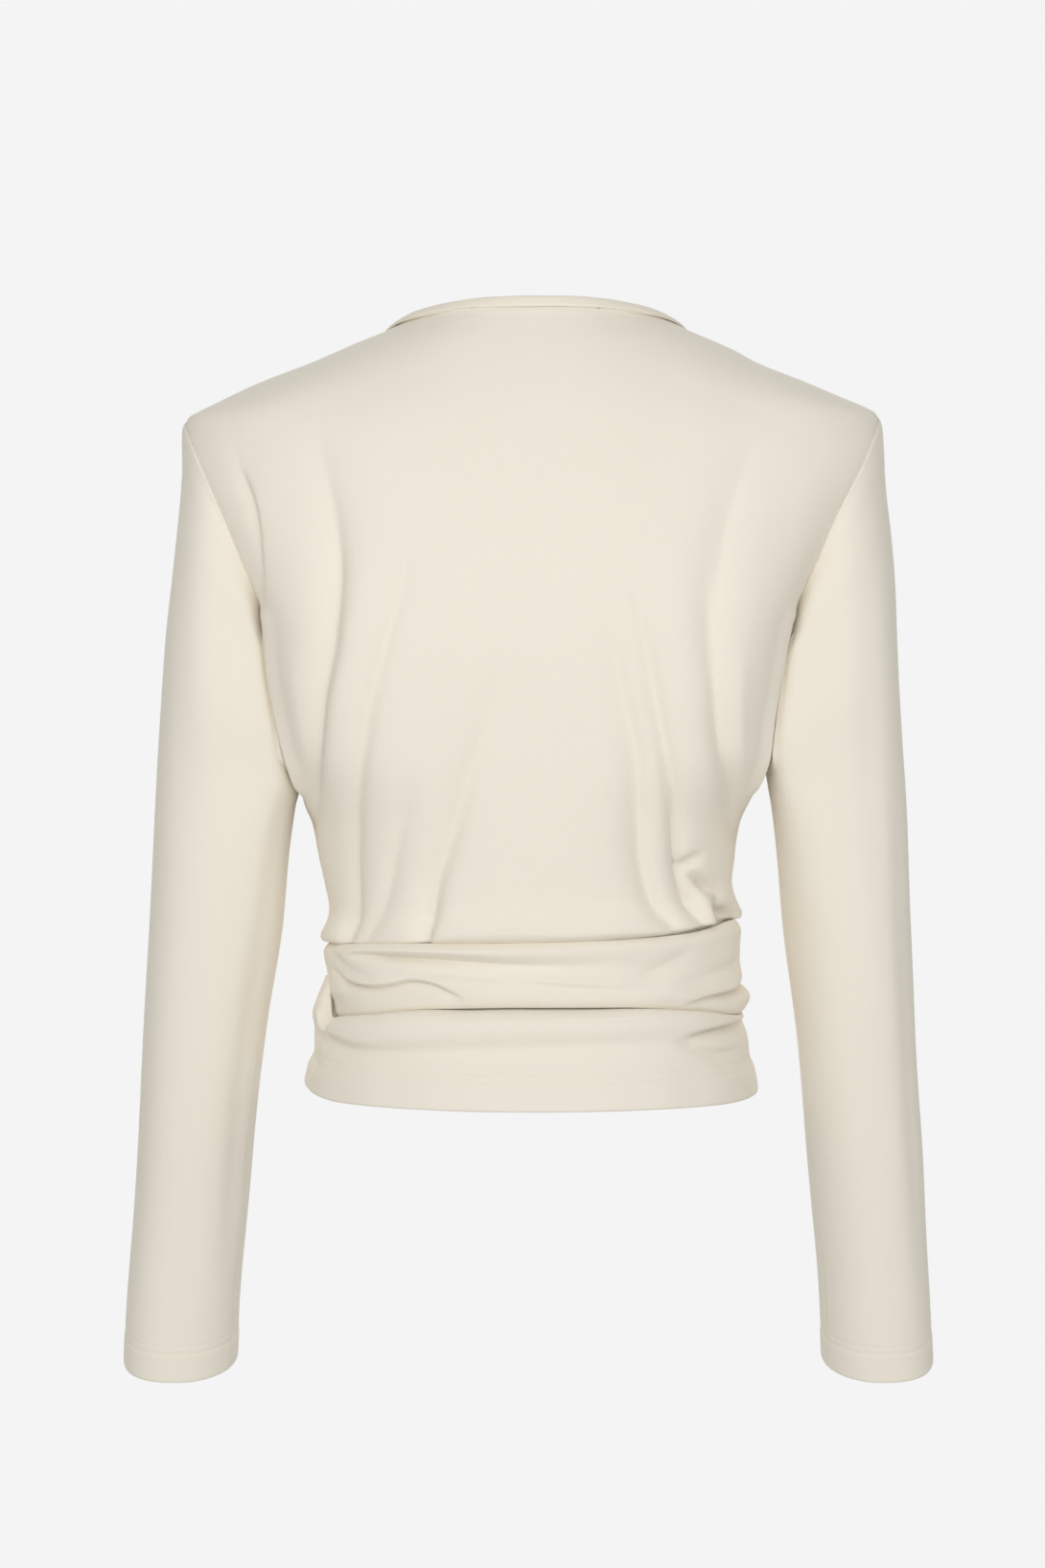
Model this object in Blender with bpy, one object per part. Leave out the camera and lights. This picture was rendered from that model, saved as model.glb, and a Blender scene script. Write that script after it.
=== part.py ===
"""A long-sleeved jersey blouse, filled out as if worn, with nobody in it.

The back of the garment faces -Y and its front faces +Y. The origin lies between the two shoulders, level with
the sides of the neck, where the wearer holds the blouse up. Sizes below are in millimetres, and become metres
when a mesh is made.

A place on the body is given by a bearing and a height. The bearing runs round the body: 0 at the centre back,
90 at the right side (+X), 180 at the centre front and -90 at the left side.
"""

import math

import bmesh
import bpy
import numpy as np

MM = 0.001

# Driving dimensions
SHOULDER_TIP = (220.0, -56.0)  # x and z of the outer end of each shoulder seam
NECK_POINT = (97.0, -1.5)  # x and z where the neck seam crosses the shoulder seam
NECK_BACK_RISE = 10.0  # centre back of the neck seam above the neck points
NECK_FRONT_DROP = 92.0  # centre front of the neck seam below the neck points
UNDERARM = (165.0, -188.0)
ARMHOLE_HALF_DEPTH = 55.0  # from the middle of the armhole to its front or back edge
ARMHOLE_SQUARENESS = 3.2  # of its lower half; the upper half is half an ellipse, whose squareness is 2
WAIST_SEAM_Z = -410.0
CUFF_Z = -655.0
NECKBAND_HEIGHT = 8.0

WALL = 1.5  # jersey of the body and sleeves
SASH_WALL = 1.8
BAND_WALL = 2.2
SEAM_GAP = 0.3  # between two pieces that are sewn together
SASH_EASE = 1.0  # between the body and the inside of the sash

# Half-widths of the torso and its depths behind and in front of the side seams, by height. Above the
# shoulder tip the half-width is that of the shoulder line; the armhole zone is worked out from the armhole.
TORSO_WIDTH_COLUMNS = ("z", "left", "right")
TORSO_WIDTH = (
    (16.0, 68.0, 68.0),
    (8.0, 80.0, 80.0),
    (-1.5, 97.0, 97.0),
    (-9.0, 115.0, 115.0),
    (-15.0, 129.0, 129.0),
    (-21.0, 143.0, 140.0),
    (-27.0, 158.0, 153.5),
    (-33.0, 173.0, 169.0),
    (-39.5, 187.5, 185.0),
    (-45.6, 200.0, 199.5),
    (-51.7, 212.5, 213.0),
    (-56.0, 220.0, 220.0),
    (-188.0, 165.0, 165.0),
    (-215.0, 162.5, 160.0),
    (-250.0, 156.0, 154.0),
    (-270.0, 151.3, 150.2),
    (-289.0, 145.8, 142.7),
    (-302.0, 142.5, 137.0),
    (-312.0, 138.4, 133.0),
    (-337.0, 133.0, 129.0),
    (-365.0, 127.0, 125.5),
    (-388.0, 123.0, 122.5),
    (-412.0, 121.5, 122.0),
)
TORSO_DEPTH_COLUMNS = ("z", "back", "front", "squareness")
TORSO_DEPTH = (
    (16.0, 57.0, 34.0, 2.1),
    (0.0, 65.0, 44.0, 2.1),
    (-20.0, 76.0, 58.0, 2.15),
    (-40.0, 85.0, 70.0, 2.2),
    (-60.0, 92.0, 82.0, 2.3),
    (-85.0, 98.5, 93.0, 2.35),
    (-120.0, 105.0, 106.0, 2.6),
    (-155.0, 108.5, 115.0, 3.0),
    (-190.0, 108.5, 118.5, 3.6),
    (-225.0, 106.0, 116.0, 3.7),
    (-265.0, 101.0, 108.0, 3.2),
    (-310.0, 95.0, 98.5, 2.3),
    (-350.0, 90.0, 92.0, 2.2),
    (-385.0, 87.0, 88.0, 2.2),
    (-412.0, 86.0, 87.0, 2.2),
)

# The largest soft folds of the upper back. Each runs from its faint end down to its deep end; bow moves its
# middle sideways, width is half the trough's breadth, and a depth below zero is a ridge.
FOLD_COLUMNS = ("name", "x_top", "z_top", "x_low", "z_low", "bow", "width", "depth")
BACK_FOLDS = (
    ("left_arm", -176.0, -86.0, -158.0, -262.0, 6.0, 9.0, 7.0),
    ("left_blade", -130.0, -80.0, -134.0, -270.0, 9.0, 15.0, 9.0),
    ("left_long", -80.0, -160.0, -110.0, -395.0, 6.0, 10.0, 8.0),
    ("left_soft", -72.0, -300.0, -97.0, -392.0, 0.0, 8.0, 4.0),
    ("left_centre", -22.0, -225.0, -66.0, -392.0, 6.0, 12.0, 8.0),
    ("right_long", 50.0, -180.0, 96.0, -385.0, -6.0, 10.0, 7.0),
    ("right_sharp", 70.0, -175.0, 98.0, -350.0, -4.0, 8.0, 6.0),
    ("right_arm", 112.0, -180.0, 127.0, -300.0, -3.0, 10.0, 7.0),
    ("right_pocket", 104.0, -330.0, 122.0, -372.0, 4.0, 8.0, 8.0),
    ("right_swell", 110.0, -330.0, 113.0, -352.0, 0.0, 9.0, -4.0),
    ("left_swell", -150.0, -180.0, -142.0, -270.0, 0.0, 10.0, -4.0),
)
# The front is hidden in the photo; its folds are guessed from those of the back.
FRONT_FOLDS = (
    ("left_long", -96.0, -190.0, -92.0, -392.0, -6.0, 12.0, 6.5),
    ("left_centre", -50.0, -240.0, -38.0, -392.0, -4.0, 12.0, 6.0),
    ("right_centre", 44.0, -250.0, 48.0, -392.0, 4.0, 12.0, 6.0),
    ("right_long", 100.0, -200.0, 98.0, -388.0, 6.0, 12.0, 6.5),
    ("left_chest", -150.0, -120.0, -128.0, -215.0, 4.0, 14.0, 5.0),
    ("right_chest", 150.0, -120.0, 126.0, -220.0, -4.0, 14.0, 5.0),
)
FOLD_FADE = 0.45  # share of a fold's length over which it fades in from its faint end

# The sash is a wide strip wound once round the waist. Each row is a bearing: the heights of its two edges,
# and how far each of its rolls and troughs stands out from the body under it.
SASH_COLUMNS = ("bearing", "top", "low", "lip", "roll", "trough", "swell", "ridge", "edge")
SASH = (
    (-180.0, -382.0, -426.0, 3.2, 7.0, 4.4, 8.0, 8.6, 6.0),
    (-135.0, -385.0, -428.0, 3.4, 7.4, 4.0, 7.2, 7.8, 5.0),
    (-100.0, -387.5, -431.0, 5.0, 8.0, 4.4, 3.8, 3.8, 3.4),
    (-72.0, -387.5, -432.5, 5.2, 8.0, 4.6, 4.6, 4.6, 3.8),
    (-50.0, -386.0, -430.0, 3.6, 7.4, 4.6, 8.2, 8.6, 6.4),
    (-20.0, -385.0, -424.0, 3.2, 7.0, 3.8, 7.6, 9.2, 7.4),
    (0.0, -384.5, -423.0, 3.2, 7.0, 3.6, 7.2, 9.6, 7.8),
    (25.0, -383.0, -423.0, 3.2, 6.8, 4.2, 7.4, 9.4, 7.6),
    (50.0, -379.5, -427.0, 3.6, 7.2, 6.0, 8.4, 10.4, 8.4),
    (75.0, -373.0, -434.0, 6.0, 10.0, 10.0, 11.6, 17.0, 17.0),
    (95.0, -372.5, -433.0, 6.0, 10.5, 10.0, 12.5, 19.0, 18.0),
    (135.0, -376.0, -429.0, 3.6, 8.0, 5.0, 9.0, 10.6, 8.0),
    (180.0, -382.0, -426.0, 3.2, 7.0, 4.4, 8.0, 8.6, 6.0),
)
SASH_SHARES = (0.0, 0.14, 0.33, 0.52, 0.78, 1.0)  # how far down the sash each roll or trough lies

# The lower piece hangs from the waist seam under the sash. Its rows are set by how far they lie below the
# lower edge of the sash, and the rest by their share of the way from there to the hem. Tucked and lapped
# tell how far out from the waist each row stands, where its top edge is under the sash or over it.
LOWER_COLUMNS = ("row", "below_sash", "share", "tucked", "lapped")
LOWER = (
    (0, None, None, 0.0, 7.6),
    (1, None, None, 0.2, 12.4),
    (2, -1.0, None, 0.5, 16.3),
    (3, 4.0, None, 11.0, 16.3),
    (4, 10.0, None, 16.0, 15.0),
    (5, None, 0.4, 16.8, 15.2),
    (6, None, 0.7, 20.0, 19.0),
    (7, None, 1.0, 22.0, 21.4),
)

# At the left side the lower piece folds up over the sash in a lobe. Its top edge leaves the waist seam,
# dips under the sash, comes out and rises. Lapped is 1 where the piece lies over the sash.
LOBE_COLUMNS = ("bearing", "edge_z", "lapped")
LOBE = (
    (-180.0, -410.3, 0.0),
    (-135.0, -412.0, 0.0),
    (-127.0, -438.0, 0.0),
    (-118.0, -438.5, 1.0),
    (-108.0, -418.0, 1.0),
    (-90.0, -409.5, 1.0),
    (-76.0, -414.0, 1.0),
    (-66.0, -438.5, 1.0),
    (-57.0, -438.0, 0.0),
    (-48.0, -412.0, 0.0),
    (0.0, -410.3, 0.0),
    (180.0, -410.3, 0.0),
)
HEM_COLUMNS = ("bearing", "z")
HEM = (
    (-180.0, -474.0),
    (-135.0, -472.0),
    (-90.0, -474.5),
    (-52.0, -484.2),
    (0.0, -487.0),
    (52.0, -485.4),
    (90.0, -480.0),
    (135.0, -476.0),
    (180.0, -474.0),
)
LOWER_SEAM_BEARINGS = (-142.0, 84.0)  # side seams of the lower piece, left and right

# Sleeve outlines by height, seen from behind: the outer and the inner edge.
SLEEVE_OUTER_COLUMNS = ("z", "left", "right")
SLEEVE_OUTER = (
    (-56.0, 220.0, 220.0),
    (-62.0, 221.4, 221.4),
    (-85.0, 222.0, 222.4),
    (-130.0, 225.6, 225.8),
    (-190.0, 230.4, 231.0),
    (-250.0, 234.4, 234.8),
    (-313.0, 238.2, 238.2),
    (-375.0, 241.6, 241.4),
    (-435.0, 245.2, 244.6),
    (-495.0, 249.0, 248.4),
    (-556.0, 253.6, 252.2),
    (-617.0, 258.6, 256.4),
    (-654.0, 260.6, 258.4),
)
SLEEVE_INNER_COLUMNS = ("z", "left", "right")
SLEEVE_INNER = (
    (-188.0, 165.0, 165.0),
    (-196.0, 165.6, 165.2),
    (-215.0, 163.7, 161.4),
    (-250.0, 157.3, 155.4),
    (-272.0, 152.4, 151.6),
    (-289.0, 147.0, 152.2),
    (-302.0, 149.6, 153.8),
    (-325.0, 152.0, 156.3),
    (-375.0, 156.5, 160.5),
    (-435.0, 166.5, 168.0),
    (-495.0, 174.5, 174.2),
    (-556.0, 180.3, 180.0),
    (-617.0, 186.0, 185.7),
    (-654.0, 188.3, 187.5),
)
# Depths of a sleeve by the height of the middle of each section, and the squareness of its inner half
SLEEVE_DEPTH_COLUMNS = ("z", "half_depth", "forward", "back_drop", "squareness")
SLEEVE_DEPTH = (
    (-122.0, 55.0, 0.0, 0.0, 3.2),
    (-160.0, 59.0, 0.0, 0.0, 3.8),
    (-230.0, 57.0, -1.0, 0.0, 3.8),
    (-300.0, 51.0, 0.0, 0.0, 2.6),
    (-400.0, 45.5, 6.0, 2.0, 2.0),
    (-500.0, 41.0, 17.0, 5.0, 2.0),
    (-600.0, 37.5, 30.0, 9.5, 2.0),
    (-654.0, 37.5, 37.0, 12.0, 2.0),
)
SLEEVE_LEVEL_Z = -346.0  # from here down the sections of a sleeve are level
SLEEVE_TILT_POWER = 1.6

# The worn blouse isn't quite even: by height, how far it is moved to the right, and the rise of its shoulders
LEAN_COLUMNS = ("z", "x")
LEAN = (
    (16.0, 3.2),
    (0.0, 3.6),
    (-27.0, 2.0),
    (-56.0, 1.2),
    (-80.0, 1.3),
    (-125.0, 2.1),
    (-150.0, 1.9),
    (-197.0, 0.6),
    (-250.0, 0.2),
    (-275.0, 0.0),
    (-700.0, 0.0),
)
SHOULDER_TILT = 0.006

# How finely each piece is divided
NECK_COLUMNS = 7  # on each side of the centre, in the back, the front and the neckband alike
NECK_CROWDING = {False: 1.15, True: 1.6}  # back and front; above 1 they crowd toward the shoulders
BACK_HALF_COLUMNS = 18
FRONT_HALF_COLUMNS = 13
YOKE_ROWS = 7
CHEST_ROWS = 5  # from the yoke down to the underarm
WAIST_ROWS = 13  # from the underarm down to the waist seam
YOKE_Z = -112.0  # the rows of a body panel are level below this height
SLEEVE_COLUMNS = 20
SLEEVE_ROWS = 20
SASH_COLUMNS_ROUND = 56
SASH_ROWS = 8
LOWER_STEP = 6.5  # degrees

CREAM = (0.86, 0.80, 0.68, 1.0)
CREAM_RIB = (0.84, 0.78, 0.66, 1.0)


def smooth_curve(table, columns, name):
    """A line through one column of a table that overshoots none of its values."""
    at = np.array([row[0] for row in table], float)
    value = np.array([row[columns.index(name)] for row in table], float)
    order = np.argsort(at)
    at, value = at[order], value[order]
    step = np.diff(at)
    rise = np.diff(value) / step
    both = rise[:-1] * rise[1:]
    total = np.where(both > 0, rise[:-1] + rise[1:], 1.0)
    slope = np.concatenate([rise[:1], np.where(both > 0, 2 * both / total, 0.0), rise[-1:]])

    def read(where):
        where = np.clip(np.asarray(where, float), at[0], at[-1])
        i = np.clip(np.searchsorted(at, where) - 1, 0, len(step) - 1)
        t = (where - at[i]) / step[i]
        return (
            value[i] * (1 + 2 * t) * (1 - t) ** 2
            + slope[i] * step[i] * t * (1 - t) ** 2
            + value[i + 1] * t * t * (3 - 2 * t)
            + slope[i + 1] * step[i] * t * t * (t - 1)
        )

    return read


def ease(share):
    """0 to 1 with a soft start and end."""
    share = np.clip(share, 0.0, 1.0)
    return share * share * (3 - 2 * share)


left_width = smooth_curve(TORSO_WIDTH, TORSO_WIDTH_COLUMNS, "left")
right_width = smooth_curve(TORSO_WIDTH, TORSO_WIDTH_COLUMNS, "right")
back_depth = smooth_curve(TORSO_DEPTH, TORSO_DEPTH_COLUMNS, "back")
front_depth = smooth_curve(TORSO_DEPTH, TORSO_DEPTH_COLUMNS, "front")
squareness = smooth_curve(TORSO_DEPTH, TORSO_DEPTH_COLUMNS, "squareness")


def armhole(z):
    """x of the armhole's flat plane at a height, and the half-depth of its opening there."""
    down = (np.asarray(z, float) - SHOULDER_TIP[1]) / (UNDERARM[1] - SHOULDER_TIP[1])
    x = SHOULDER_TIP[0] + (UNDERARM[0] - SHOULDER_TIP[0]) * down
    across = 2 * np.clip(down, 0.0, 1.0) - 1
    power = np.where(across > 0, ARMHOLE_SQUARENESS, 2.0)
    return x, ARMHOLE_HALF_DEPTH * (1 - np.abs(across) ** power) ** (1 / power)


def in_armhole(z):
    return (z < SHOULDER_TIP[1]) & (z > UNDERARM[1])


def half_width(bearing, z):
    """Half-width of the torso's section at a height, on the side and face where the bearing lies."""
    right = np.sin(np.radians(bearing)) >= 0
    width = np.where(right, right_width(z), left_width(z))
    x, open_half = armhole(z)
    depth, power = half_depth(bearing, z), squareness(z)
    through_armhole = x / (1 - (open_half / depth) ** power) ** (1 / power)
    return np.where(in_armhole(z), through_armhole, width)


def half_depth(bearing, z):
    return np.where(np.cos(np.radians(bearing)) >= 0, back_depth(z), front_depth(z))


def on_ring(bearing, width, depth, power):
    """x and y of a rounded section at a bearing."""
    s, c = np.sin(np.radians(bearing)), np.cos(np.radians(bearing))
    reach = (np.abs(s) ** power + np.abs(c) ** power) ** (-1 / power)
    return width * reach * s, -depth * reach * c


def body_point(bearing, z):
    bearing, z = np.broadcast_arrays(np.asarray(bearing, float), np.asarray(z, float))
    x, y = on_ring(bearing, half_width(bearing, z), half_depth(bearing, z), squareness(z))
    return np.stack([x, y, z], axis=-1)


def body_normal(point):
    """Which way the torso's surface faces at a point on it."""
    step = 0.5

    def level(p):
        bearing = np.degrees(np.arctan2(p[..., 0], -p[..., 1]))
        width, depth = half_width(bearing, p[..., 2]), half_depth(bearing, p[..., 2])
        power = squareness(p[..., 2])
        return np.abs(p[..., 0] / width) ** power + np.abs(p[..., 1] / depth) ** power

    slopes = []
    for axis in range(3):
        move = np.zeros(3)
        move[axis] = step
        slopes.append(level(point + move) - level(point - move))
    return unit(np.stack(slopes, axis=-1))


def unit(vector):
    return vector / np.maximum(np.linalg.norm(vector, axis=-1, keepdims=True), 1e-9)


def bearing_of_share(share, power):
    """The bearing, from 0 to 90, at which a section has this share of its half-width."""
    share = np.clip(share, 0.0, 1.0)
    with np.errstate(divide="ignore"):
        return np.degrees(np.arctan((share**power / np.maximum(1 - share**power, 1e-12)) ** (1 / power)))


def neck_z(share, front):
    """Height of the neck seam, from the centre (0) to the shoulder seam (1)."""
    if front:
        return NECK_POINT[1] - NECK_FRONT_DROP * np.cos(np.radians(90 * share)) ** 0.9
    return NECK_POINT[1] + NECK_BACK_RISE * (1 - share**3.2)


def neck_point_at(share, front):
    """A point of the neck seam on the torso. Share runs from -1 at the left shoulder to 1 at the right."""
    size = 1 - (1 - np.abs(share)) ** NECK_CROWDING[front]
    share = np.sign(share) * size
    z = neck_z(size, front)
    if front:
        x = np.sign(share) * NECK_POINT[0] * np.sin(np.radians(90 * size)) ** 0.92
        return torso_at_x(x, z, front)
    bearing = 90 * share
    width = np.interp(z, (NECK_POINT[1], 8.0, 16.0), (NECK_POINT[0], 88.0, 80.0))
    x, y = on_ring(bearing, width, back_depth(z), squareness(z))
    return np.stack(np.broadcast_arrays(x, y, z), axis=-1)


def torso_at_x(x, z, front):
    """The torso's front or back point with this x at this height."""
    side = np.where(x >= 0, 90.0, -90.0)
    facing = 180.0 if front else 0.0
    width = half_width(facing + np.where(front, -side, side) * 0.99, z)
    share = np.clip(np.abs(x) / width, 0.0, 1.0)
    depth, power = half_depth(np.full(np.shape(x), facing), z), squareness(z)
    y = depth * (1 - share**power) ** (1 / power)
    return np.stack(np.broadcast_arrays(x, y if front else -y, z), axis=-1)


def panel_grid(front, half_columns):
    """Points of the upper front or back panel, from its neck and shoulder edge down to the waist seam.

    In the yoke each column runs straight, seen from the front, from its place on the neck seam or shoulder
    seam to its place on a level ring. Below that the columns share out each ring between the side edges.
    """
    turns = np.arange(-half_columns, half_columns + 1)
    low_rows = np.concatenate(
        [
            np.linspace(YOKE_Z, UNDERARM[1] - 0.4, CHEST_ROWS + 1)[1:],
            np.linspace(UNDERARM[1] - 0.4, WAIST_SEAM_Z, WAIST_ROWS + 1)[1:],
        ]
    )
    steps = (np.arange(1, YOKE_ROWS + 1) / YOKE_ROWS) ** 1.15
    grid = np.zeros((1 + YOKE_ROWS + len(low_rows), len(turns), 3))
    for j, turn in enumerate(turns):
        side = 1.0 if turn >= 0 else -1.0
        if abs(turn) <= NECK_COLUMNS:
            top = neck_point_at(turn / NECK_COLUMNS, front)
        else:
            along = (abs(turn) - NECK_COLUMNS) / (half_columns - NECK_COLUMNS)
            x = NECK_POINT[0] + (SHOULDER_TIP[0] - NECK_POINT[0]) * along
            top = np.array([side * x, 0.0, float(np.interp(x, *ridge_line(side)))])
        z = np.concatenate([top[2] + (YOKE_Z - top[2]) * steps, low_rows])
        around = 90 * turn / half_columns * edge_bearing(z, side, front) / 90
        ring = body_point(180 - around if front else around, z)
        x = top[0] + (ring[YOKE_ROWS - 1, 0] - top[0]) * steps
        grid[0, j] = top
        grid[1:, j] = ring
        if abs(turn) < half_columns:
            grid[1 : YOKE_ROWS + 1, j] = torso_at_x(x, z[:YOKE_ROWS], front)
    return grid


def ridge_line(side):
    """Heights of the shoulder line by distance from the centre, for np.interp."""
    rows = [row for row in TORSO_WIDTH if SHOULDER_TIP[1] <= row[0] <= NECK_POINT[1]]
    width = [row[2] if side >= 0 else row[1] for row in rows]
    return width, [row[0] for row in rows]


def edge_bearing(z, side, front):
    """The bearing at which the armhole cuts the torso's section, or 90 where there is no armhole."""
    x, _ = armhole(z)
    facing = 180.0 - 1.0 * side if front else 1.0 * side
    power = squareness(z)
    cut = bearing_of_share(x / half_width(np.full(np.shape(z), facing), z), power)
    return np.where(in_armhole(z), cut, 90.0)


def fold_depth(points, folds):
    """How far a body panel lies below its plain surface at each point, from its table of folds."""
    x, z = points[..., 0], points[..., 2]
    total = np.zeros(x.shape)
    for row in folds:
        fold = dict(zip(FOLD_COLUMNS, row))
        along_x, along_z = fold["x_low"] - fold["x_top"], fold["z_low"] - fold["z_top"]
        length = math.hypot(along_x, along_z)
        share = ((x - fold["x_top"]) * along_x + (z - fold["z_top"]) * along_z) / length**2
        aside = ((x - fold["x_top"]) * along_z - (z - fold["z_top"]) * along_x) / length
        middle = fold["bow"] * np.clip(4 * share * (1 - share), -1, 1)
        strength = ease(share / FOLD_FADE) * ease((1.12 - share) / 0.12)
        total += fold["depth"] * strength * np.exp(-(((aside - middle) / fold["width"]) ** 2))
    return total


def inward(grid, wall):
    """The inner surface of a body panel. Edges that lie in an armhole's plane stay in that plane."""
    inner = grid - wall * body_normal(grid)
    for column, side in ((0, -1), (-1, 1)):
        edge = grid[:, column]
        z = edge[:, 2]
        inside = in_armhole(z)
        along = np.array([(SHOULDER_TIP[0] - UNDERARM[0]) * side, 0.0, SHOULDER_TIP[1] - UNDERARM[1]])
        middle = np.array([(SHOULDER_TIP[0] + UNDERARM[0]) / 2 * side, 0.0, (SHOULDER_TIP[1] + UNDERARM[1]) / 2])
        half = np.linalg.norm(along) / 2
        along = unit(along)
        up = (edge - middle) @ along
        power = np.where(up < 0, ARMHOLE_SQUARENESS, 2.0)
        climb, across = np.clip(up / half, -1, 1), np.clip(edge[:, 1] / ARMHOLE_HALF_DEPTH, -1, 1)
        inner_edge = edge - wall * unit(
            (np.sign(climb) * np.abs(climb) ** (power - 1) / half)[:, None] * along
            + (np.sign(across) * np.abs(across) ** (power - 1) / ARMHOLE_HALF_DEPTH)[:, None] * [0.0, 1.0, 0.0]
        )
        inner[inside, column] = inner_edge[inside]
    return inner


def lean(points):
    """The finished blouse leans a little: its shoulders lie to the right, and the right one is higher."""
    points = np.array(points, float)
    z = points[:, 2].copy()
    tilted = points[:, 0] * SHOULDER_TILT * ease((z - UNDERARM[1]) / (SHOULDER_TIP[1] - UNDERARM[1]))
    points[:, 0] += smooth_curve(LEAN, LEAN_COLUMNS, "x")(z)
    points[:, 2] += tilted
    return points


def make_object(name, points, faces, colour, origin, parent):
    """A closed solid from points in millimetres, with its own material, placed at its origin under a parent."""
    bm = bmesh.new()
    verts = [bm.verts.new((p - origin) * MM) for p in lean(points)]
    for face in faces:
        bm.faces.new([verts[i] for i in face])
    bmesh.ops.recalc_face_normals(bm, faces=bm.faces)
    if bm.calc_volume(signed=True) < 0:
        bmesh.ops.reverse_faces(bm, faces=bm.faces)
    mesh = bpy.data.meshes.new(name)
    bm.to_mesh(mesh)
    bm.free()
    mesh.shade_smooth()
    mesh.set_sharp_from_angle(angle=math.radians(50))
    mesh.materials.append(jersey(name, colour))
    thing = bpy.data.objects.new(name, mesh)
    thing.location = np.array(origin) * MM
    thing.parent = parent
    bpy.context.scene.collection.objects.link(thing)
    return thing


def jersey(name, colour):
    material = bpy.data.materials.new(name + "_jersey")
    material.use_nodes = True
    shader = material.node_tree.nodes["Principled BSDF"]
    shader.inputs["Base Color"].default_value = colour
    shader.inputs["Roughness"].default_value = 0.85
    shader.inputs["Metallic"].default_value = 0.0
    return material


def wall_between(outer, inner, round_it=False):
    """Points and faces of a cloth wall between two grids of rows and columns. round_it closes the columns."""
    rows, columns = outer.shape[:2]
    points = np.concatenate([outer.reshape(-1, 3), inner.reshape(-1, 3)])
    under = rows * columns

    def at(i, j, layer=0):
        return layer * under + i * columns + j % columns

    faces = []
    spans = columns if round_it else columns - 1
    for i in range(rows - 1):
        for j in range(spans):
            quad = [(i, j), (i + 1, j), (i + 1, j + 1), (i, j + 1)]
            faces.append([at(*corner) for corner in quad])
            faces.append([at(*corner, layer=1) for corner in (quad[0], quad[3], quad[2], quad[1])])
    for i, flip in ((0, False), (rows - 1, True)):
        for j in range(spans):
            rim = [at(i, j), at(i, j + 1), at(i, j + 1, 1), at(i, j, 1)]
            faces.append(rim[::-1] if flip else rim)
    if not round_it:
        for j, flip in ((0, True), (columns - 1, False)):
            for i in range(rows - 1):
                rim = [at(i, j), at(i + 1, j), at(i + 1, j, 1), at(i, j, 1)]
                faces.append(rim if flip else rim[::-1])
    return points, faces


def make_panel(front, half_columns, parent):
    """The upper front or back, between the neck, shoulder, armhole and side seams and the waist seam."""
    grid = panel_grid(front, half_columns)
    normal = body_normal(grid)
    inner = inward(grid, WALL)
    from_edge = np.minimum(np.arange(grid.shape[1]), np.arange(grid.shape[1])[::-1])
    sink = fold_depth(grid, FRONT_FOLDS if front else BACK_FOLDS) * ease(from_edge / 2.0)[None, :]
    grid = grid - normal * sink[..., None]
    inner = inner - normal * sink[..., None]
    half_gap = SEAM_GAP / 2
    for surface in (grid, inner):
        surface[..., 1] = np.maximum(surface[..., 1] + half_gap, half_gap) if front else np.minimum(
            surface[..., 1] - half_gap, -half_gap
        )
        surface[-1, :, 2] += half_gap
    name = "front" if front else "back"
    points, faces = wall_between(grid, inner)
    return make_object(name, points, faces, CREAM, (0.0, 0.0, 0.0), parent)


def sleeve_ring(share, side, columns):
    """One section of a sleeve, from the armhole (0) to the cuff (1), as points round it."""
    name = "right" if side > 0 else "left"
    outer_x = smooth_curve(SLEEVE_OUTER, SLEEVE_OUTER_COLUMNS, name)
    inner_x = smooth_curve(SLEEVE_INNER, SLEEVE_INNER_COLUMNS, name)
    z_out = SHOULDER_TIP[1] + (CUFF_Z - SHOULDER_TIP[1]) * share
    rest = np.clip((SLEEVE_LEVEL_Z - z_out) / (SLEEVE_LEVEL_Z - SHOULDER_TIP[1]), 0.0, 1.0)
    z_in = z_out - (SHOULDER_TIP[1] - UNDERARM[1]) * rest**SLEEVE_TILT_POWER
    out_end = np.array([float(outer_x(z_out)), 0.0, z_out])
    in_end = np.array([float(inner_x(z_in)), 0.0, z_in])
    middle, reach = (out_end + in_end) / 2, (out_end - in_end) / 2
    depth, forward, drop, inner_squareness = (
        float(smooth_curve(SLEEVE_DEPTH, SLEEVE_DEPTH_COLUMNS, column)(middle[2]))
        for column in SLEEVE_DEPTH_COLUMNS[1:]
    )
    turn = np.radians(np.arange(columns) * 360 / columns)
    power = 2 / np.where(np.cos(turn) < -1e-6, inner_squareness, 2.0)
    out_share = np.sign(np.cos(turn)) * np.abs(np.cos(turn)) ** power
    front_share = np.sign(np.sin(turn)) * np.abs(np.sin(turn)) ** power
    points = middle + np.outer(out_share, reach) + np.outer(front_share, [0.0, depth, 0.0])
    points[:, 1] += forward
    points[:, 2] += drop * np.sin(turn)
    points[:, 0] *= side
    return points


def sleeve_grid(side, columns, rows):
    steps = np.linspace(0, 1, rows + 1)
    shares = 0.55 * steps + 0.45 * steps**2  # closer together near the armhole
    grid = np.array([sleeve_ring(share, side, columns) for share in shares])
    plane = unit(np.array([(SHOULDER_TIP[1] - UNDERARM[1]) * side, 0.0, UNDERARM[0] - SHOULDER_TIP[0]]))
    if plane[0] * side < 0:
        plane = -plane
    grid[0] += plane * SEAM_GAP
    grid[1] += plane * SEAM_GAP
    return grid


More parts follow.
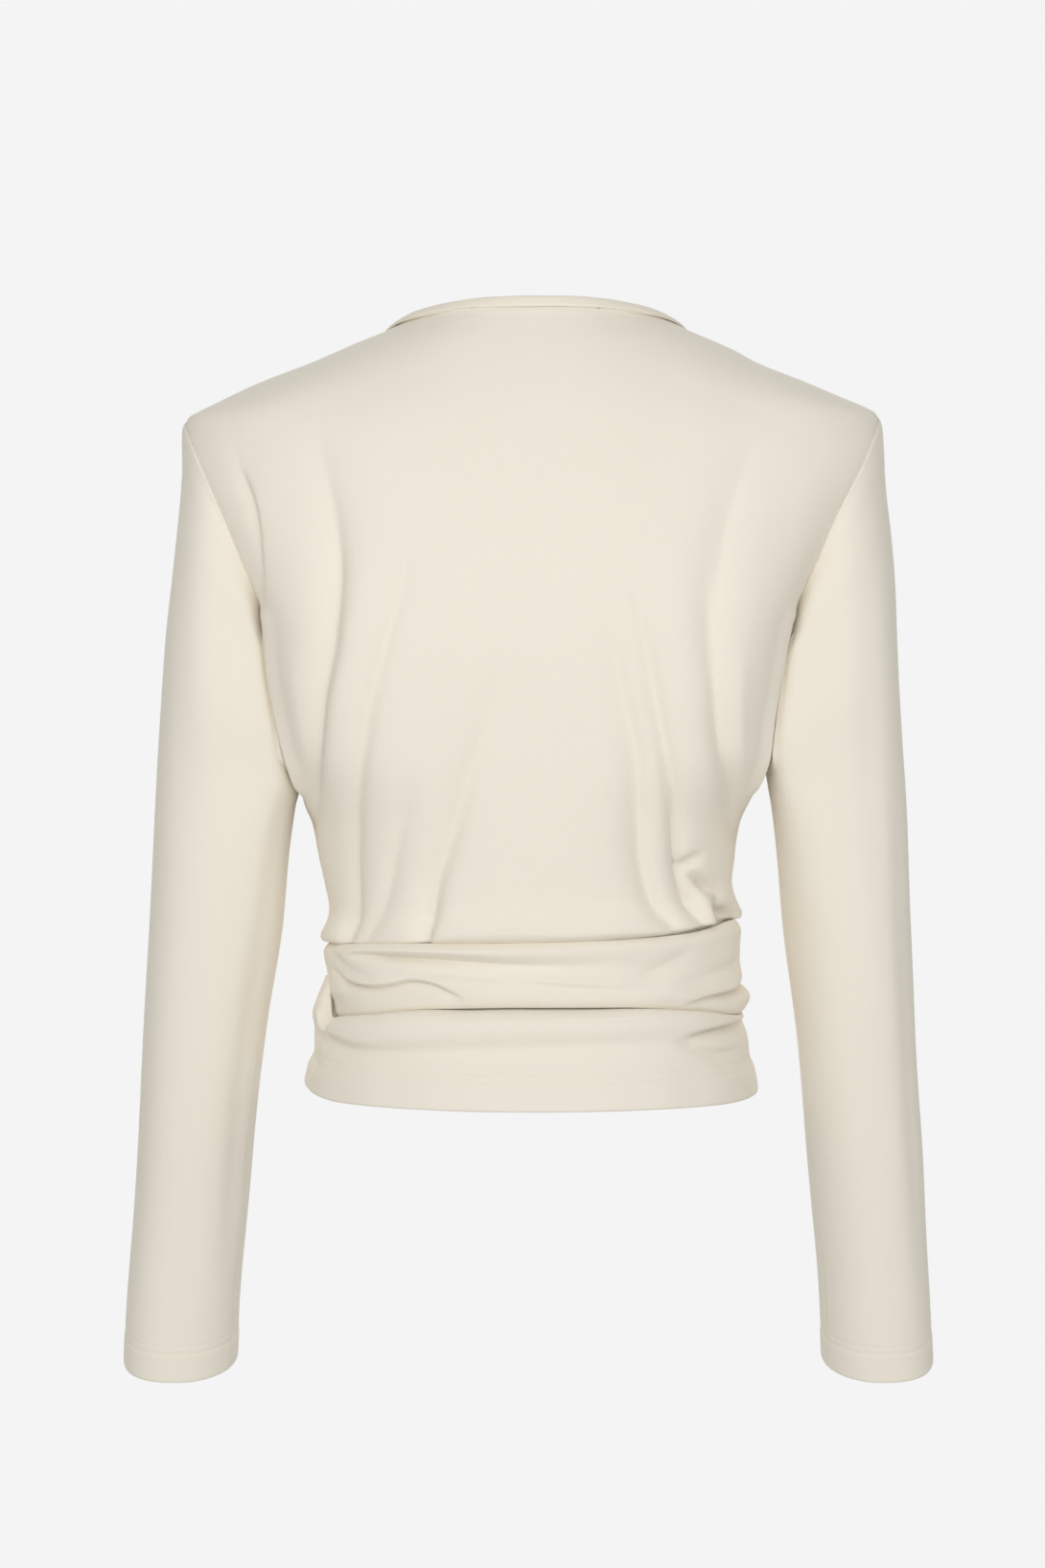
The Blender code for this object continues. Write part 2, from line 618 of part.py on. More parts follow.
def grid_normals(grid, outward_from):
    """Normals of a closed-round grid, turned away from the given middle of each row."""
    down = np.gradient(grid, axis=0)
    around = np.roll(grid, -1, axis=1) - np.roll(grid, 1, axis=1)
    normal = unit(np.cross(around, down))
    flip = np.sign(np.sum(normal * (grid - outward_from), axis=-1, keepdims=True))
    return normal * np.where(flip == 0, 1, flip)


def make_sleeve(side, parent):
    """One long sleeve, a tube from the armhole's plane to the turned cuff."""
    grid = sleeve_grid(side, SLEEVE_COLUMNS, SLEEVE_ROWS)
    middle = grid.mean(axis=1, keepdims=True)
    inner = grid - WALL * grid_normals(grid, middle)
    toward = middle[0] - grid[0]
    inner[0] = grid[0] + WALL * unit(toward)
    inner[-1, :, 2] = grid[-1, :, 2]
    name = "sleeve_right" if side > 0 else "sleeve_left"
    points, faces = wall_between(grid, inner, round_it=True)
    return make_object(name, points, faces, CREAM, (SHOULDER_TIP[0] * side, 0.0, SHOULDER_TIP[1]), parent)


def neck_loop():
    """The neck seam as a closed line: across the back from left to right, then across the front."""
    shares = np.linspace(-1, 1, 2 * NECK_COLUMNS + 1)[:-1]
    back = np.array([neck_point_at(share, False) for share in shares])
    front = np.array([neck_point_at(-share, True) for share in shares])
    return np.concatenate([back, front])


def make_neckband(parent):
    """A narrow folded band that stands on the neck seam and follows the body's surface."""
    loop = neck_loop()
    tangent = unit(np.roll(loop, -1, axis=0) - np.roll(loop, 1, axis=0))
    lifted = loop.copy()
    lifted[:, 1] += np.where(np.abs(lifted[:, 1]) < 0.5, 0.5, 0.0)
    normal = body_normal(lifted)
    rise = np.cross(tangent, normal)
    rise = unit(rise * np.sign(np.sum(rise * (np.array([0.0, 0.0, 40.0]) - loop), axis=1, keepdims=True)))
    swell = np.array([0.35, 0.7, 0.7, 0.2])[:, None, None]
    heights = (SEAM_GAP + NECKBAND_HEIGHT * np.array([0.0, 0.3, 0.75, 1.0]))[:, None, None]
    outer = loop[None] + rise[None] * heights + normal[None] * swell
    inner = outer - BAND_WALL * normal[None]
    points, faces = wall_between(outer, inner, round_it=True)
    return make_object("neckband", points, faces, CREAM_RIB, (0.0, 0.0, 0.0), parent)


def sash_section(bearing, shares):
    """Heights of the sash and its distance out from the body, down one bearing."""
    top, low = (float(smooth_curve(SASH, SASH_COLUMNS, edge)(bearing)) for edge in ("top", "low"))
    outs = [float(smooth_curve(SASH, SASH_COLUMNS, part)(bearing)) for part in SASH_COLUMNS[3:]]
    profile = tuple(zip(SASH_SHARES, outs))
    out = smooth_curve(profile, ("share", "out"), "out")(shares)
    return top + (low - top) * np.asarray(shares), out


def pushed_out(bearing, z, out):
    """Points at a distance outside the torso's rings, level with them."""
    z = np.asarray(z, float)
    x, y = on_ring(bearing, half_width(bearing, z) + out, half_depth(bearing, z) + out, squareness(z))
    return np.stack(np.broadcast_arrays(x, y, z), axis=-1)


def make_sash(parent):
    """The wide sash round the waist, with its rolls and troughs, as one closed strip."""
    shares = np.linspace(0, 1, SASH_ROWS + 1)
    bearings = -180 + 360 * np.arange(SASH_COLUMNS_ROUND) / SASH_COLUMNS_ROUND
    outer = np.zeros((SASH_ROWS + 1, SASH_COLUMNS_ROUND, 3))
    inner = np.zeros_like(outer)
    for j, bearing in enumerate(bearings):
        z, out = sash_section(bearing, shares)
        outer[:, j] = pushed_out(bearing, z, out)
        inner[:, j] = pushed_out(bearing, z, np.maximum(out - SASH_WALL, SASH_EASE))
    points, faces = wall_between(outer, inner, round_it=True)
    return make_object("sash", points, faces, CREAM, (0.0, 0.0, WAIST_SEAM_Z), parent)


def lower_section(bearing):
    """The lower piece down one bearing: from its top edge, tucked in or lapped over the sash, to the hem."""
    edge_z, lapped = (float(smooth_curve(LOBE, LOBE_COLUMNS, part)(bearing)) for part in ("edge_z", "lapped"))
    sash_low = float(smooth_curve(SASH, SASH_COLUMNS, "low")(bearing))
    below = min(sash_low, edge_z - 4.0)
    hem = float(smooth_curve(HEM, HEM_COLUMNS, "z")(bearing))
    z, out = [edge_z], []
    for row, drop, share, tucked, over in LOWER:
        if drop is not None:
            z.append(below - drop)
        elif share is not None:
            z.append(z[4] + (hem - z[4]) * share)
        elif row == 1:
            z.append((edge_z + below + 1.0) / 2)
        out.append(tucked + (over - tucked) * lapped)
    z, out = np.array(z), np.array(out)
    waist_width, waist_depth = float(half_width(bearing, WAIST_SEAM_Z)), float(half_depth(bearing, WAIST_SEAM_Z))
    power = float(squareness(WAIST_SEAM_Z))
    outer, inner = (
        np.stack([*on_ring(bearing, waist_width + part, waist_depth + part, power), z], axis=-1)
        for part in (out, out - WALL)
    )
    return outer, inner


def make_lower(name, first, last, parent):
    """One lower piece between two side seams, from the waist seam to the hem."""
    seam = math.degrees(SEAM_GAP / 2 / 75)
    count = round((last - first) / LOWER_STEP)
    outer = np.zeros((len(LOWER), count + 1, 3))
    inner = np.zeros_like(outer)
    for j, bearing in enumerate(np.linspace(first + seam, last - seam, count + 1)):
        outer[:, j], inner[:, j] = lower_section((bearing + 180) % 360 - 180)
    points, faces = wall_between(outer, inner)
    return make_object(name, points, faces, CREAM, (0.0, 0.0, WAIST_SEAM_Z), parent)


def main():
    for thing in list(bpy.data.objects):
        bpy.data.objects.remove(thing)
    blouse = bpy.data.objects.new("blouse", None)
    bpy.context.scene.collection.objects.link(blouse)
    make_panel(False, BACK_HALF_COLUMNS, blouse)
    make_panel(True, FRONT_HALF_COLUMNS, blouse)
    for side in (-1, 1):
        make_sleeve(side, blouse)
    make_neckband(blouse)
    make_sash(blouse)
    left, right = LOWER_SEAM_BEARINGS
    make_lower("lower_back", left, right, blouse)
    make_lower("lower_front", right, left + 360, blouse)


main()
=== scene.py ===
# %% [markdown]
# # A cream jersey blouse, filled out as if worn
#
# This file dresses a plain CAD model of a blouse. The CAD gives eight solids: back, front, two sleeves,
# neckband, sash and the two halves of the lower piece. Each is replaced here by a finer piece of cloth
# with its folds, seams and stitches. The back of the garment faces -Y, which is the side that the
# camera sees.

# %% Load the frame

import math

import bpy
import numpy as np
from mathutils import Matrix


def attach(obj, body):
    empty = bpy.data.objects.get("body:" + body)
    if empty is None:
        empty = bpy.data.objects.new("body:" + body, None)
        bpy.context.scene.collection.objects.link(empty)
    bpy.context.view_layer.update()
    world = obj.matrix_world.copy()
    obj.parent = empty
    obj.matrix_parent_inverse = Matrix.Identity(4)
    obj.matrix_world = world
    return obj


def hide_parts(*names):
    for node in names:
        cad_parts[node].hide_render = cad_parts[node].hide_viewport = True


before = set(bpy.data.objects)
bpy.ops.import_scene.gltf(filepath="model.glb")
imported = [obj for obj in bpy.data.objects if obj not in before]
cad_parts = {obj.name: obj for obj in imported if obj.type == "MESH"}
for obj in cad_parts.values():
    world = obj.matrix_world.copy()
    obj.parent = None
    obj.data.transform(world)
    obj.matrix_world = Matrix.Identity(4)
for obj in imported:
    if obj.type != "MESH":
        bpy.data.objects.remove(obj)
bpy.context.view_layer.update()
MM = 0.001

# %% [markdown]
# ## The camera
#
# A lens that is long for its distance keeps the blouse almost free of perspective, as a studio
# photograph of clothing does. Blender could also place a camera by fitting it to a view, but here its
# place is known: level with the middle of the blouse and 2.6 m behind it.

# %% Camera

CAMERA_PLACE = (-0.0049, -2.6, -0.2873)
IMAGE_HEIGHT = 1635
MM_IN_A_PIXEL = 0.608

camera_data = bpy.data.cameras.new("camera")
camera = bpy.data.objects.new("camera", camera_data)
camera.location = CAMERA_PLACE
camera.rotation_euler = (math.radians(90), 0, 0)
camera_data.sensor_fit = "AUTO"
camera_data.sensor_width = 36.0
camera_data.lens = 36.0 * -CAMERA_PLACE[1] / (IMAGE_HEIGHT * MM_IN_A_PIXEL * MM)
camera_data.clip_start = 0.1
camera_data.clip_end = 50.0
bpy.context.scene.collection.objects.link(camera)
bpy.context.scene.camera = camera
print("lens", round(camera_data.lens, 2), "mm")

# %% [markdown]
# ## Expressions for shaders
#
# A shader is a graph of nodes. Adding Math nodes by hand hides the formula, so one small class wraps an
# output socket and turns Python's operators into Math nodes. Its single method `node` adds any other
# kind of node.


# %% One class for shader maths


class Signal:
    """An output socket in a node tree, with arithmetic. Without a socket it is only a place to add nodes."""

    def __init__(self, tree, socket=None):
        self.tree = tree
        self.socket = socket

    def node(self, kind, settings=None, out=0, **sockets):
        """Adds a node, sets it, gives its sockets values or links, and returns the chosen output."""
        made = self.tree.nodes.new(kind)
        for name, value in (settings or {}).items():
            setattr(made, name, value)
        for name, value in sockets.items():
            key = int(name[1:]) if name[0] == "_" else name.replace("_", " ")
            if isinstance(value, Signal):
                self.tree.links.new(value.socket, made.inputs[key])
            else:
                made.inputs[key].default_value = value
        return Signal(self.tree, made.outputs[out]) if made.outputs else made

    def maths(self, operation, first, second):
        return self.node("ShaderNodeMath", {"operation": operation}, _0=first, _1=second)

    def __add__(self, other):
        return self.maths("ADD", self, other)

    def __sub__(self, other):
        return self.maths("SUBTRACT", self, other)

    def __mul__(self, other):
        return self.maths("MULTIPLY", self, other)


def start_material(name):
    """A new material with its shader and output, as an empty Signal and the shader node."""
    material = bpy.data.materials.new(name)
    material.use_nodes = True
    return material, Signal(material.node_tree), material.node_tree.nodes["Principled BSDF"]


# %% [markdown]
# ## Studio light
#
# Clothing is photographed in light so even that only folds cast shade. Here it comes from before and
# behind the blouse, and less from the sides and from above, so the sleeves' outer edges and the
# shoulders darken and stand out. A world can give light by direction, and can show another brightness
# to the camera. Area lights close to the cloth make the middle a little brighter than the sleeves.

# %% World and lights

BACKGROUND = 0.905
ROOM_LIGHT = 1.11
SIDE_SHARE = 0.20  # light from the sides, against that from before and behind
TOP_SHARE = 0.18  # how much the light grows toward the top and fades toward the floor

world = bpy.data.worlds.new("studio")
bpy.context.scene.world = world
world.use_nodes = True
world.node_tree.nodes.clear()
sky = Signal(world.node_tree)
seen = sky.node("ShaderNodeLightPath", out="Is Camera Ray")
shown = sky.node("ShaderNodeBackground", Color=(BACKGROUND, BACKGROUND, BACKGROUND, 1), Strength=1.0)
way = sky.node("ShaderNodeTexCoord", out="Generated")
along = sky.node("ShaderNodeSeparateXYZ", out="Y", Vector=way)
upward = sky.node("ShaderNodeSeparateXYZ", out="Z", Vector=way)
room = sky.node("ShaderNodeMapRange", _0=along * along, _1=0.02, _2=0.56, _3=SIDE_SHARE, _4=1.0)
strength = room * ROOM_LIGHT * (upward * TOP_SHARE + 1.0)
filling = sky.node("ShaderNodeBackground", Color=(1.0, 1.0, 1.0, 1), Strength=strength)
sky.node("ShaderNodeOutputWorld", Surface=sky.node("ShaderNodeMixShader", _0=seen, _1=filling, _2=shown))
bpy.context.scene.view_settings.view_transform = "Standard"
bpy.context.scene.view_settings.look = "None"


def soft_light(name, place, aim, size, power):
    """A square area light at a place, turned toward the point it lights."""
    data = bpy.data.lights.new(name, "AREA")
    data.shape = "RECTANGLE"
    data.size, data.size_y = size
    data.energy = power
    light = bpy.data.objects.new(name, data)
    light.location = place
    way = np.array(aim) - np.array(place)
    flat = math.hypot(way[0], way[1])
    light.rotation_euler = (math.atan2(flat, -way[2]), 0, math.atan2(way[1], way[0]) - math.pi / 2)
    bpy.context.scene.collection.objects.link(light)


soft_light("key", (-0.6, -2.2, 1.5), (0, 0, -0.3), (1.2, 1.2), 3)
soft_light("middle", (0.0, -1.0, -0.15), (0, 0, -0.2), (0.4, 0.4), 1.3)
soft_light("far_side", (0.4, 2.6, 1.4), (0, 0, -0.3), (1.6, 1.6), 8)

# %% [markdown]
# ## Smooth curves through measured values
#
# Every outline here is a short table of measured values. A curve through them should never swing past a
# measured value, or the cloth would bulge where nothing bulges. Cubic pieces whose slopes are the
# harmonic mean of their neighbours' slopes have that property.

# %% Curves and small helpers


def curve(table, column, by=0):
    """Reads a smooth line through one column of a table against another, with no overshoot."""
    rows = sorted(table, key=lambda row: row[by])
    at = np.array([row[by] for row in rows], float)
    value = np.array([row[column] for row in rows], float)
    step = np.diff(at)
    rise = np.diff(value) / step
    both = rise[:-1] * rise[1:]
    total = np.where(both > 0, rise[:-1] + rise[1:], 1.0)
    slope = np.concatenate([rise[:1], np.where(both > 0, 2 * both / total, 0.0), rise[-1:]])

    def read(where):
        where = np.clip(np.asarray(where, float), at[0], at[-1])
        i = np.clip(np.searchsorted(at, where) - 1, 0, len(step) - 1)
        t = (where - at[i]) / step[i]
        return (
            value[i] * (1 + 2 * t) * (1 - t) ** 2
            + slope[i] * step[i] * t * (1 - t) ** 2
            + value[i + 1] * t * t * (3 - 2 * t)
            + slope[i + 1] * step[i] * t * t * (t - 1)
        )

    return read


def ease(share):
    """0 to 1 with a soft start and end."""
    share = np.clip(share, 0.0, 1.0)
    return share * share * (3 - 2 * share)


def unit(vector):
    return vector / np.maximum(np.linalg.norm(vector, axis=-1, keepdims=True), 1e-9)


def bell(distance, breadth):
    """1 at no distance, falling off softly on both sides."""
    return np.exp(-((distance / breadth) ** 2))


def bearing_of(points):
    """The bearing of points round the upright axis: 0 at the centre back, 90 at the right side."""
    return np.degrees(np.arctan2(points[..., 0], -points[..., 1]))


def run_along(line):
    """Distance along a line of points from its first one."""
    return np.concatenate([[0.0], np.cumsum(np.linalg.norm(np.diff(line, axis=0), axis=1))])


def points_at(line, run, at):
    """The points of a line where its run has these values."""
    return np.stack([np.interp(at, run, line[:, k]) for k in range(3)], axis=-1)


WAVES = 7


def ripple(points, size, seed):
    """A smooth uneven field from -1 to 1 over points in millimetres; size is the breadth of its waves."""
    rng = np.random.default_rng(seed)
    total = np.zeros(points.shape[:-1])
    for _ in range(WAVES):
        way = rng.normal(size=3) * (1.0, 1.0, 0.45)
        way = way / np.linalg.norm(way) * rng.uniform(0.6, 1.4) * 2 * math.pi / size
        total += np.sin(points @ way + rng.uniform(0, 2 * math.pi))
    return total / (WAVES / 2)


print("eased", [round(float(ease(share)), 2) for share in (0.25, 0.5, 0.75)])

# %% [markdown]
# ## The body that the cloth lies on
#
# The upper blouse is a stack of rounded sections. Each has a half-width at the left and right, a depth
# behind and in front of the side seams, and a squareness. A place on it is a bearing (0 at the centre
# back, 90 at the right side) and a height. Sizes are in millimetres and become metres when a mesh is
# made. The sash's section is measured here too, because the cloth above swells over its edge.

# %% Measurements of the torso

SHOULDER_TIP = (220.0, -56.0)
NECK_POINT = (97.0, -1.5)
NECK_BACK_RISE = 10.0
NECK_FRONT_DROP = 92.0
UNDERARM = (165.0, -188.0)
ARMHOLE_HALF_DEPTH = 55.0
ARMHOLE_SQUARENESS = 3.6
WAIST_SEAM_Z = -410.0
CUFF_Z = -655.0
NECKBAND_HEIGHT = 8.0
WALL = 1.5
SASH_WALL = 1.8
BAND_WALL = 2.2
SEAM_GAP = 0.3
SASH_EASE = 1.0
SASH = (  # bearing, top, low, then how far out: lip, roll, trough, swell, ridge, edge
    (-180.0, -382.0, -426.0, 3.2, 7.0, 4.4, 8.0, 8.6, 6.0),
    (-135.0, -385.0, -428.0, 3.4, 7.4, 4.0, 7.2, 7.8, 5.0),
    (-100.0, -387.5, -431.0, 5.0, 8.0, 5.4, 4.2, 3.8, 3.4),
    (-72.0, -387.5, -432.5, 5.2, 8.6, 7.6, 8.2, 4.8, 3.8),
    (-50.0, -386.0, -430.0, 3.8, 9.4, 8.6, 11.0, 8.6, 6.0),
    (-28.0, -385.2, -425.5, 3.4, 9.8, 8.4, 11.4, 9.2, 6.4),
    (0.0, -384.5, -424.2, 3.4, 8.8, 6.4, 9.8, 9.8, 7.0),
    (25.0, -383.0, -424.4, 3.4, 7.2, 5.0, 8.6, 10.2, 7.4),
    (50.0, -379.5, -427.5, 4.0, 7.6, 7.0, 9.6, 12.5, 8.8),
    (75.0, -373.0, -431.5, 6.0, 10.0, 10.4, 12.4, 17.0, 12.5),
    (95.0, -372.5, -430.5, 6.0, 10.5, 10.0, 12.5, 19.0, 13.5),
    (135.0, -376.0, -429.0, 3.6, 8.0, 5.0, 9.0, 10.6, 8.0),
    (180.0, -382.0, -426.0, 3.2, 7.0, 4.4, 8.0, 8.6, 6.0),
)
SASH_SHARES = (0.0, 0.14, 0.42, 0.63, 0.82, 1.0)
SASH_TOP = tuple(row[:2] for row in SASH)
SWELL = (  # height above the sash, how far the cloth swells over it
    (-40.0, 0.0), (-2.0, 0.0), (-1.0, 0.6), (0.0, 2.0), (0.8, 3.4), (2.0, 4.6), (5.0, 4.8), (9.0, 3.6),
    (15.0, 1.6), (26.0, 0.0), (600.0, 0.0),
)
SWELL_ROOM = (  # height above the sash, the most that folds and swell together may stand out
    (-40.0, 0.1), (-1.5, 0.1), (0.0, 1.4), (0.8, 3.2), (1.6, 4.6), (3.0, 6.0), (8.0, 8.0), (60.0, 12.0),
    (600.0, 12.0),
)
SWELL_SHARE = (  # bearing, the swell's size there, more where the sash stands further out
    (-180.0, 0.95), (-135.0, 1.0), (-100.0, 1.45), (-72.0, 1.5), (-50.0, 1.1), (0.0, 1.05), (25.0, 1.2),
    (50.0, 1.5), (75.0, 2.0), (95.0, 2.0), (135.0, 1.1), (180.0, 0.95),
)
FOLD_FADE = (  # height above the sash, the share of a fold's depth that is left there
    (-40.0, 0.2), (0.0, 0.3), (5.0, 0.5), (16.0, 1.0), (600.0, 1.0),
)
CREASE_TURN = 1.8  # how far the cloth takes to turn in at the underarm crease
CREASE_LAP = 3.2  # how far it laps over the sleeve there
LAP_TOP = -172.0
LAP_FADE = 14.0
CREASE_LEVEL = (  # z, how far behind and in front of the side seam the cloth stands at the underarm crease
    (-420.0, 0.0), (-305.0, 0.0), (-292.0, 40.0), (-275.0, 54.0), (-250.0, 59.0), (-215.0, 58.0),
    (-196.0, 52.0), (-188.0, 48.0), (-180.0, 47.0), (-170.0, 47.5), (-160.0, 47.0),
)

TORSO_WIDTH = (  # z, left, right
    (16.0, 68.0, 68.0), (8.0, 80.0, 80.0), (-1.5, 97.0, 97.0), (-9.0, 115.0, 115.0),
    (-15.0, 129.0, 129.0), (-21.0, 143.0, 140.0), (-27.0, 158.0, 153.5), (-33.0, 173.0, 169.0),
    (-39.5, 187.5, 185.0), (-45.6, 200.0, 199.5), (-51.7, 212.5, 213.0), (-56.0, 220.0, 220.0),
    (-188.0, 165.0, 165.0), (-215.0, 162.5, 160.0), (-250.0, 156.0, 154.0), (-270.0, 151.3, 150.2),
    (-289.0, 145.8, 142.7), (-302.0, 142.5, 137.0), (-312.0, 138.4, 133.0), (-337.0, 133.0, 129.0),
    (-365.0, 127.0, 125.5), (-388.0, 123.0, 122.5), (-412.0, 121.5, 122.0),
)
TORSO_DEPTH = (  # z, back, front, squareness
    (16.0, 57.0, 34.0, 2.1), (0.0, 65.0, 44.0, 2.1), (-20.0, 76.0, 58.0, 2.15),
    (-40.0, 85.0, 70.0, 2.2), (-60.0, 92.0, 82.0, 2.3), (-85.0, 98.5, 93.0, 2.35),
    (-120.0, 105.0, 106.0, 2.6), (-155.0, 108.5, 115.0, 3.3), (-190.0, 108.5, 118.5, 4.2),
    (-225.0, 106.0, 116.0, 4.4), (-265.0, 101.0, 108.0, 3.8), (-310.0, 95.0, 98.5, 2.5),
    (-350.0, 90.0, 92.0, 2.2), (-385.0, 87.0, 88.0, 2.2), (-412.0, 86.0, 87.0, 2.2),
)
LEAN = (  # z, how far the worn blouse is moved to the right
    (16.0, 3.2), (0.0, 3.6), (-27.0, 2.0), (-56.0, 1.2), (-80.0, 1.3), (-125.0, 2.1),
    (-150.0, 1.9), (-197.0, 0.6), (-250.0, 0.2), (-275.0, 0.0), (-700.0, 0.0),
)
SHOULDER_TILT = 0.006
SEAM_PULL = 5.0
PULL_REACH = (22.0, 60.0)  # out over the sleeve, in over the body
TIP_ROUNDING = 0.9
TIP_RADIUS = 4.0

left_width, right_width = curve(TORSO_WIDTH, 1), curve(TORSO_WIDTH, 2)
back_depth, front_depth, squareness = (curve(TORSO_DEPTH, k) for k in (1, 2, 3))
lean_x = curve(LEAN, 1)
print("shoulders", 2 * SHOULDER_TIP[0], "mm wide, underarms", 2 * UNDERARM[0], "mm")

# %% Points and directions on the torso


def armhole(z):
    """x of the armhole's flat plane at a height, and half the depth of its opening there."""
    down = (np.asarray(z, float) - SHOULDER_TIP[1]) / (UNDERARM[1] - SHOULDER_TIP[1])
    x = SHOULDER_TIP[0] + (UNDERARM[0] - SHOULDER_TIP[0]) * down
    across = 2 * np.clip(down, 0.0, 1.0) - 1
    power = np.where(across > 0, ARMHOLE_SQUARENESS, 2.0)
    return x, ARMHOLE_HALF_DEPTH * (1 - np.abs(across) ** power) ** (1 / power)


def in_armhole(z):
    return (z < SHOULDER_TIP[1]) & (z > UNDERARM[1])


def half_depth(bearing, z):
    return np.where(np.cos(np.radians(bearing)) >= 0, back_depth(z), front_depth(z))


def exact_width(bearing, z):
    """Half-width of the section at a height; by the armhole it is widened so the section passes its edge."""
    width = np.where(np.sin(np.radians(bearing)) >= 0, right_width(z), left_width(z))
    x, open_half = armhole(z)
    depth, power = half_depth(bearing, z), squareness(z)
    through = x / (1 - np.minimum(open_half / depth, 0.999) ** power) ** (1 / power)
    return np.where(in_armhole(z), through, width)


HEIGHTS = np.arange(-430.0, 30.0, 1.0)
UNDERARM_BLUR = 15.0  # how far up and down the corner at the underarm is smoothed


def softened(bearing):
    """The half-width by height with its corner at the underarm smoothed, for one quarter of the section."""
    blur = 0.1 + UNDERARM_BLUR * ease(1.6 - np.abs(HEIGHTS - UNDERARM[1]) / 50.0)
    weight = np.exp(-(((HEIGHTS[:, None] - HEIGHTS[None, :]) / blur[:, None]) ** 2) / 2)
    return weight @ exact_width(bearing, HEIGHTS) / weight.sum(axis=1)


SOFT_WIDTHS = {(right, back): softened(bearing) for right, back, bearing in
               ((True, True, 60.0), (True, False, 120.0), (False, True, -60.0), (False, False, -120.0))}


def half_width(bearing, z):
    """The softened half-width, on the side and face where the bearing lies."""
    bearing, z = np.broadcast_arrays(bearing, z)
    right, back = np.sin(np.radians(bearing)) >= 0, np.cos(np.radians(bearing)) >= 0
    width = np.zeros(z.shape)
    for (is_right, is_back), soft in SOFT_WIDTHS.items():
        width = np.where((right == is_right) & (back == is_back), np.interp(z, HEIGHTS, soft), width)
    return width


def on_ring(bearing, width, depth, power):
    """x and y of a rounded section at a bearing."""
    s, c = np.sin(np.radians(bearing)), np.cos(np.radians(bearing))
    reach = (np.abs(s) ** power + np.abs(c) ** power) ** (-1 / power)
    return width * reach * s, -depth * reach * c


def off_body(bearing, z, out=0.0):
    """Points at a distance outside the torso's sections, level with them."""
    bearing, z, out = np.broadcast_arrays(bearing, z, out)
    x, y = on_ring(bearing, half_width(bearing, z) + out, half_depth(bearing, z) + out, squareness(z))
    return np.stack([x, y, z], axis=-1).astype(float)


def body_normal(point):
    """Which way the torso's surface faces at points on it."""

    def level(p):
        bearing = bearing_of(p)
        width, depth = half_width(bearing, p[..., 2]), half_depth(bearing, p[..., 2])
        power = squareness(p[..., 2])
        return np.abs(p[..., 0] / width) ** power + np.abs(p[..., 1] / depth) ** power

    moves = 0.5 * np.eye(3)
    return unit(np.stack([level(point + move) - level(point - move) for move in moves], axis=-1))


def torso_at_x(x, z, front):
    """The torso's front or back point with this x at this height."""
    side = np.where(x >= 0, 90.0, -90.0)
    facing = 180.0 if front else 0.0
    width = half_width(facing + (-side if front else side) * 0.99, z)
    share = np.clip(np.abs(x) / width, 0.0, 1.0)
    depth, power = half_depth(np.full(np.shape(x), facing), z), squareness(z)
    y = depth * (1 - share**power) ** (1 / power)
    return np.stack(np.broadcast_arrays(x, y if front else -y, z), axis=-1)


print("waist", [round(float(half_width(side, WAIST_SEAM_Z))) for side in (-90.0, 90.0)], "mm to each side")

# %% [markdown]
# ## Cloth with two faces
#
# A solidify modifier could thicken a single sheet, but at an armhole or a neck the edge must keep to a
# plane, so each piece here is built from an outer and an inner grid of points that share their edges.
# The helper also measures the distance from an edge along the cloth, because hems and stitch lines are
# measured that way.

# %% Building a piece of cloth

PIECES = {}


def lean(points):
    """The worn blouse leans a little: its shoulders lie to the right, and the right one is higher. The right
    sleeve's seam is pulled in, and the corners of the shoulders are rounded."""
    points = np.array(points, float)
    x, z = points[:, 0].copy(), points[:, 2].copy()
    up = ease((z - UNDERARM[1]) / (SHOULDER_TIP[1] - UNDERARM[1]))
    points[:, 2] += x * SHOULDER_TILT * up
    points[:, 0] += lean_x(z)
    seam_x = np.where(z > UNDERARM[1], armhole(z)[0], right_width(z))
    aside = x - seam_x
    pulled = bell(aside, np.where(aside > 0, *PULL_REACH)) * ease((-80.0 - z) / 50.0)
    points[:, 0] -= SEAM_PULL * pulled * ease((z + 300.0) / 60.0)
    to_tip = np.hypot(np.abs(x) - SHOULDER_TIP[0], z - SHOULDER_TIP[1])
    rounding = TIP_ROUNDING * bell(to_tip, TIP_RADIUS)
    points[:, 0] -= np.sign(x) * rounding
    points[:, 2] -= rounding
    return points


def mesh_piece(name, points, faces, material):
    """A smooth mesh object from points in millimetres and an array of faces, turned right side out."""
    placed = lean(points) * MM
    a, b, c = (placed[faces[:, k]] for k in (0, 1, 2))
    d = placed[faces[:, 3]]
    if np.sum(np.cross(b - a, c - a) * a) + np.sum(np.cross(c - a, d - a) * a) < 0:
        faces = faces[:, ::-1]
    mesh = bpy.data.meshes.new(name)
    mesh.from_pydata(placed.tolist(), [], faces.tolist())
    mesh.shade_smooth()
    mesh.materials.append(material)
    piece = bpy.data.objects.new(name, mesh)
    bpy.context.scene.collection.objects.link(piece)
    PIECES[name] = piece
    print(name, len(faces), "faces")


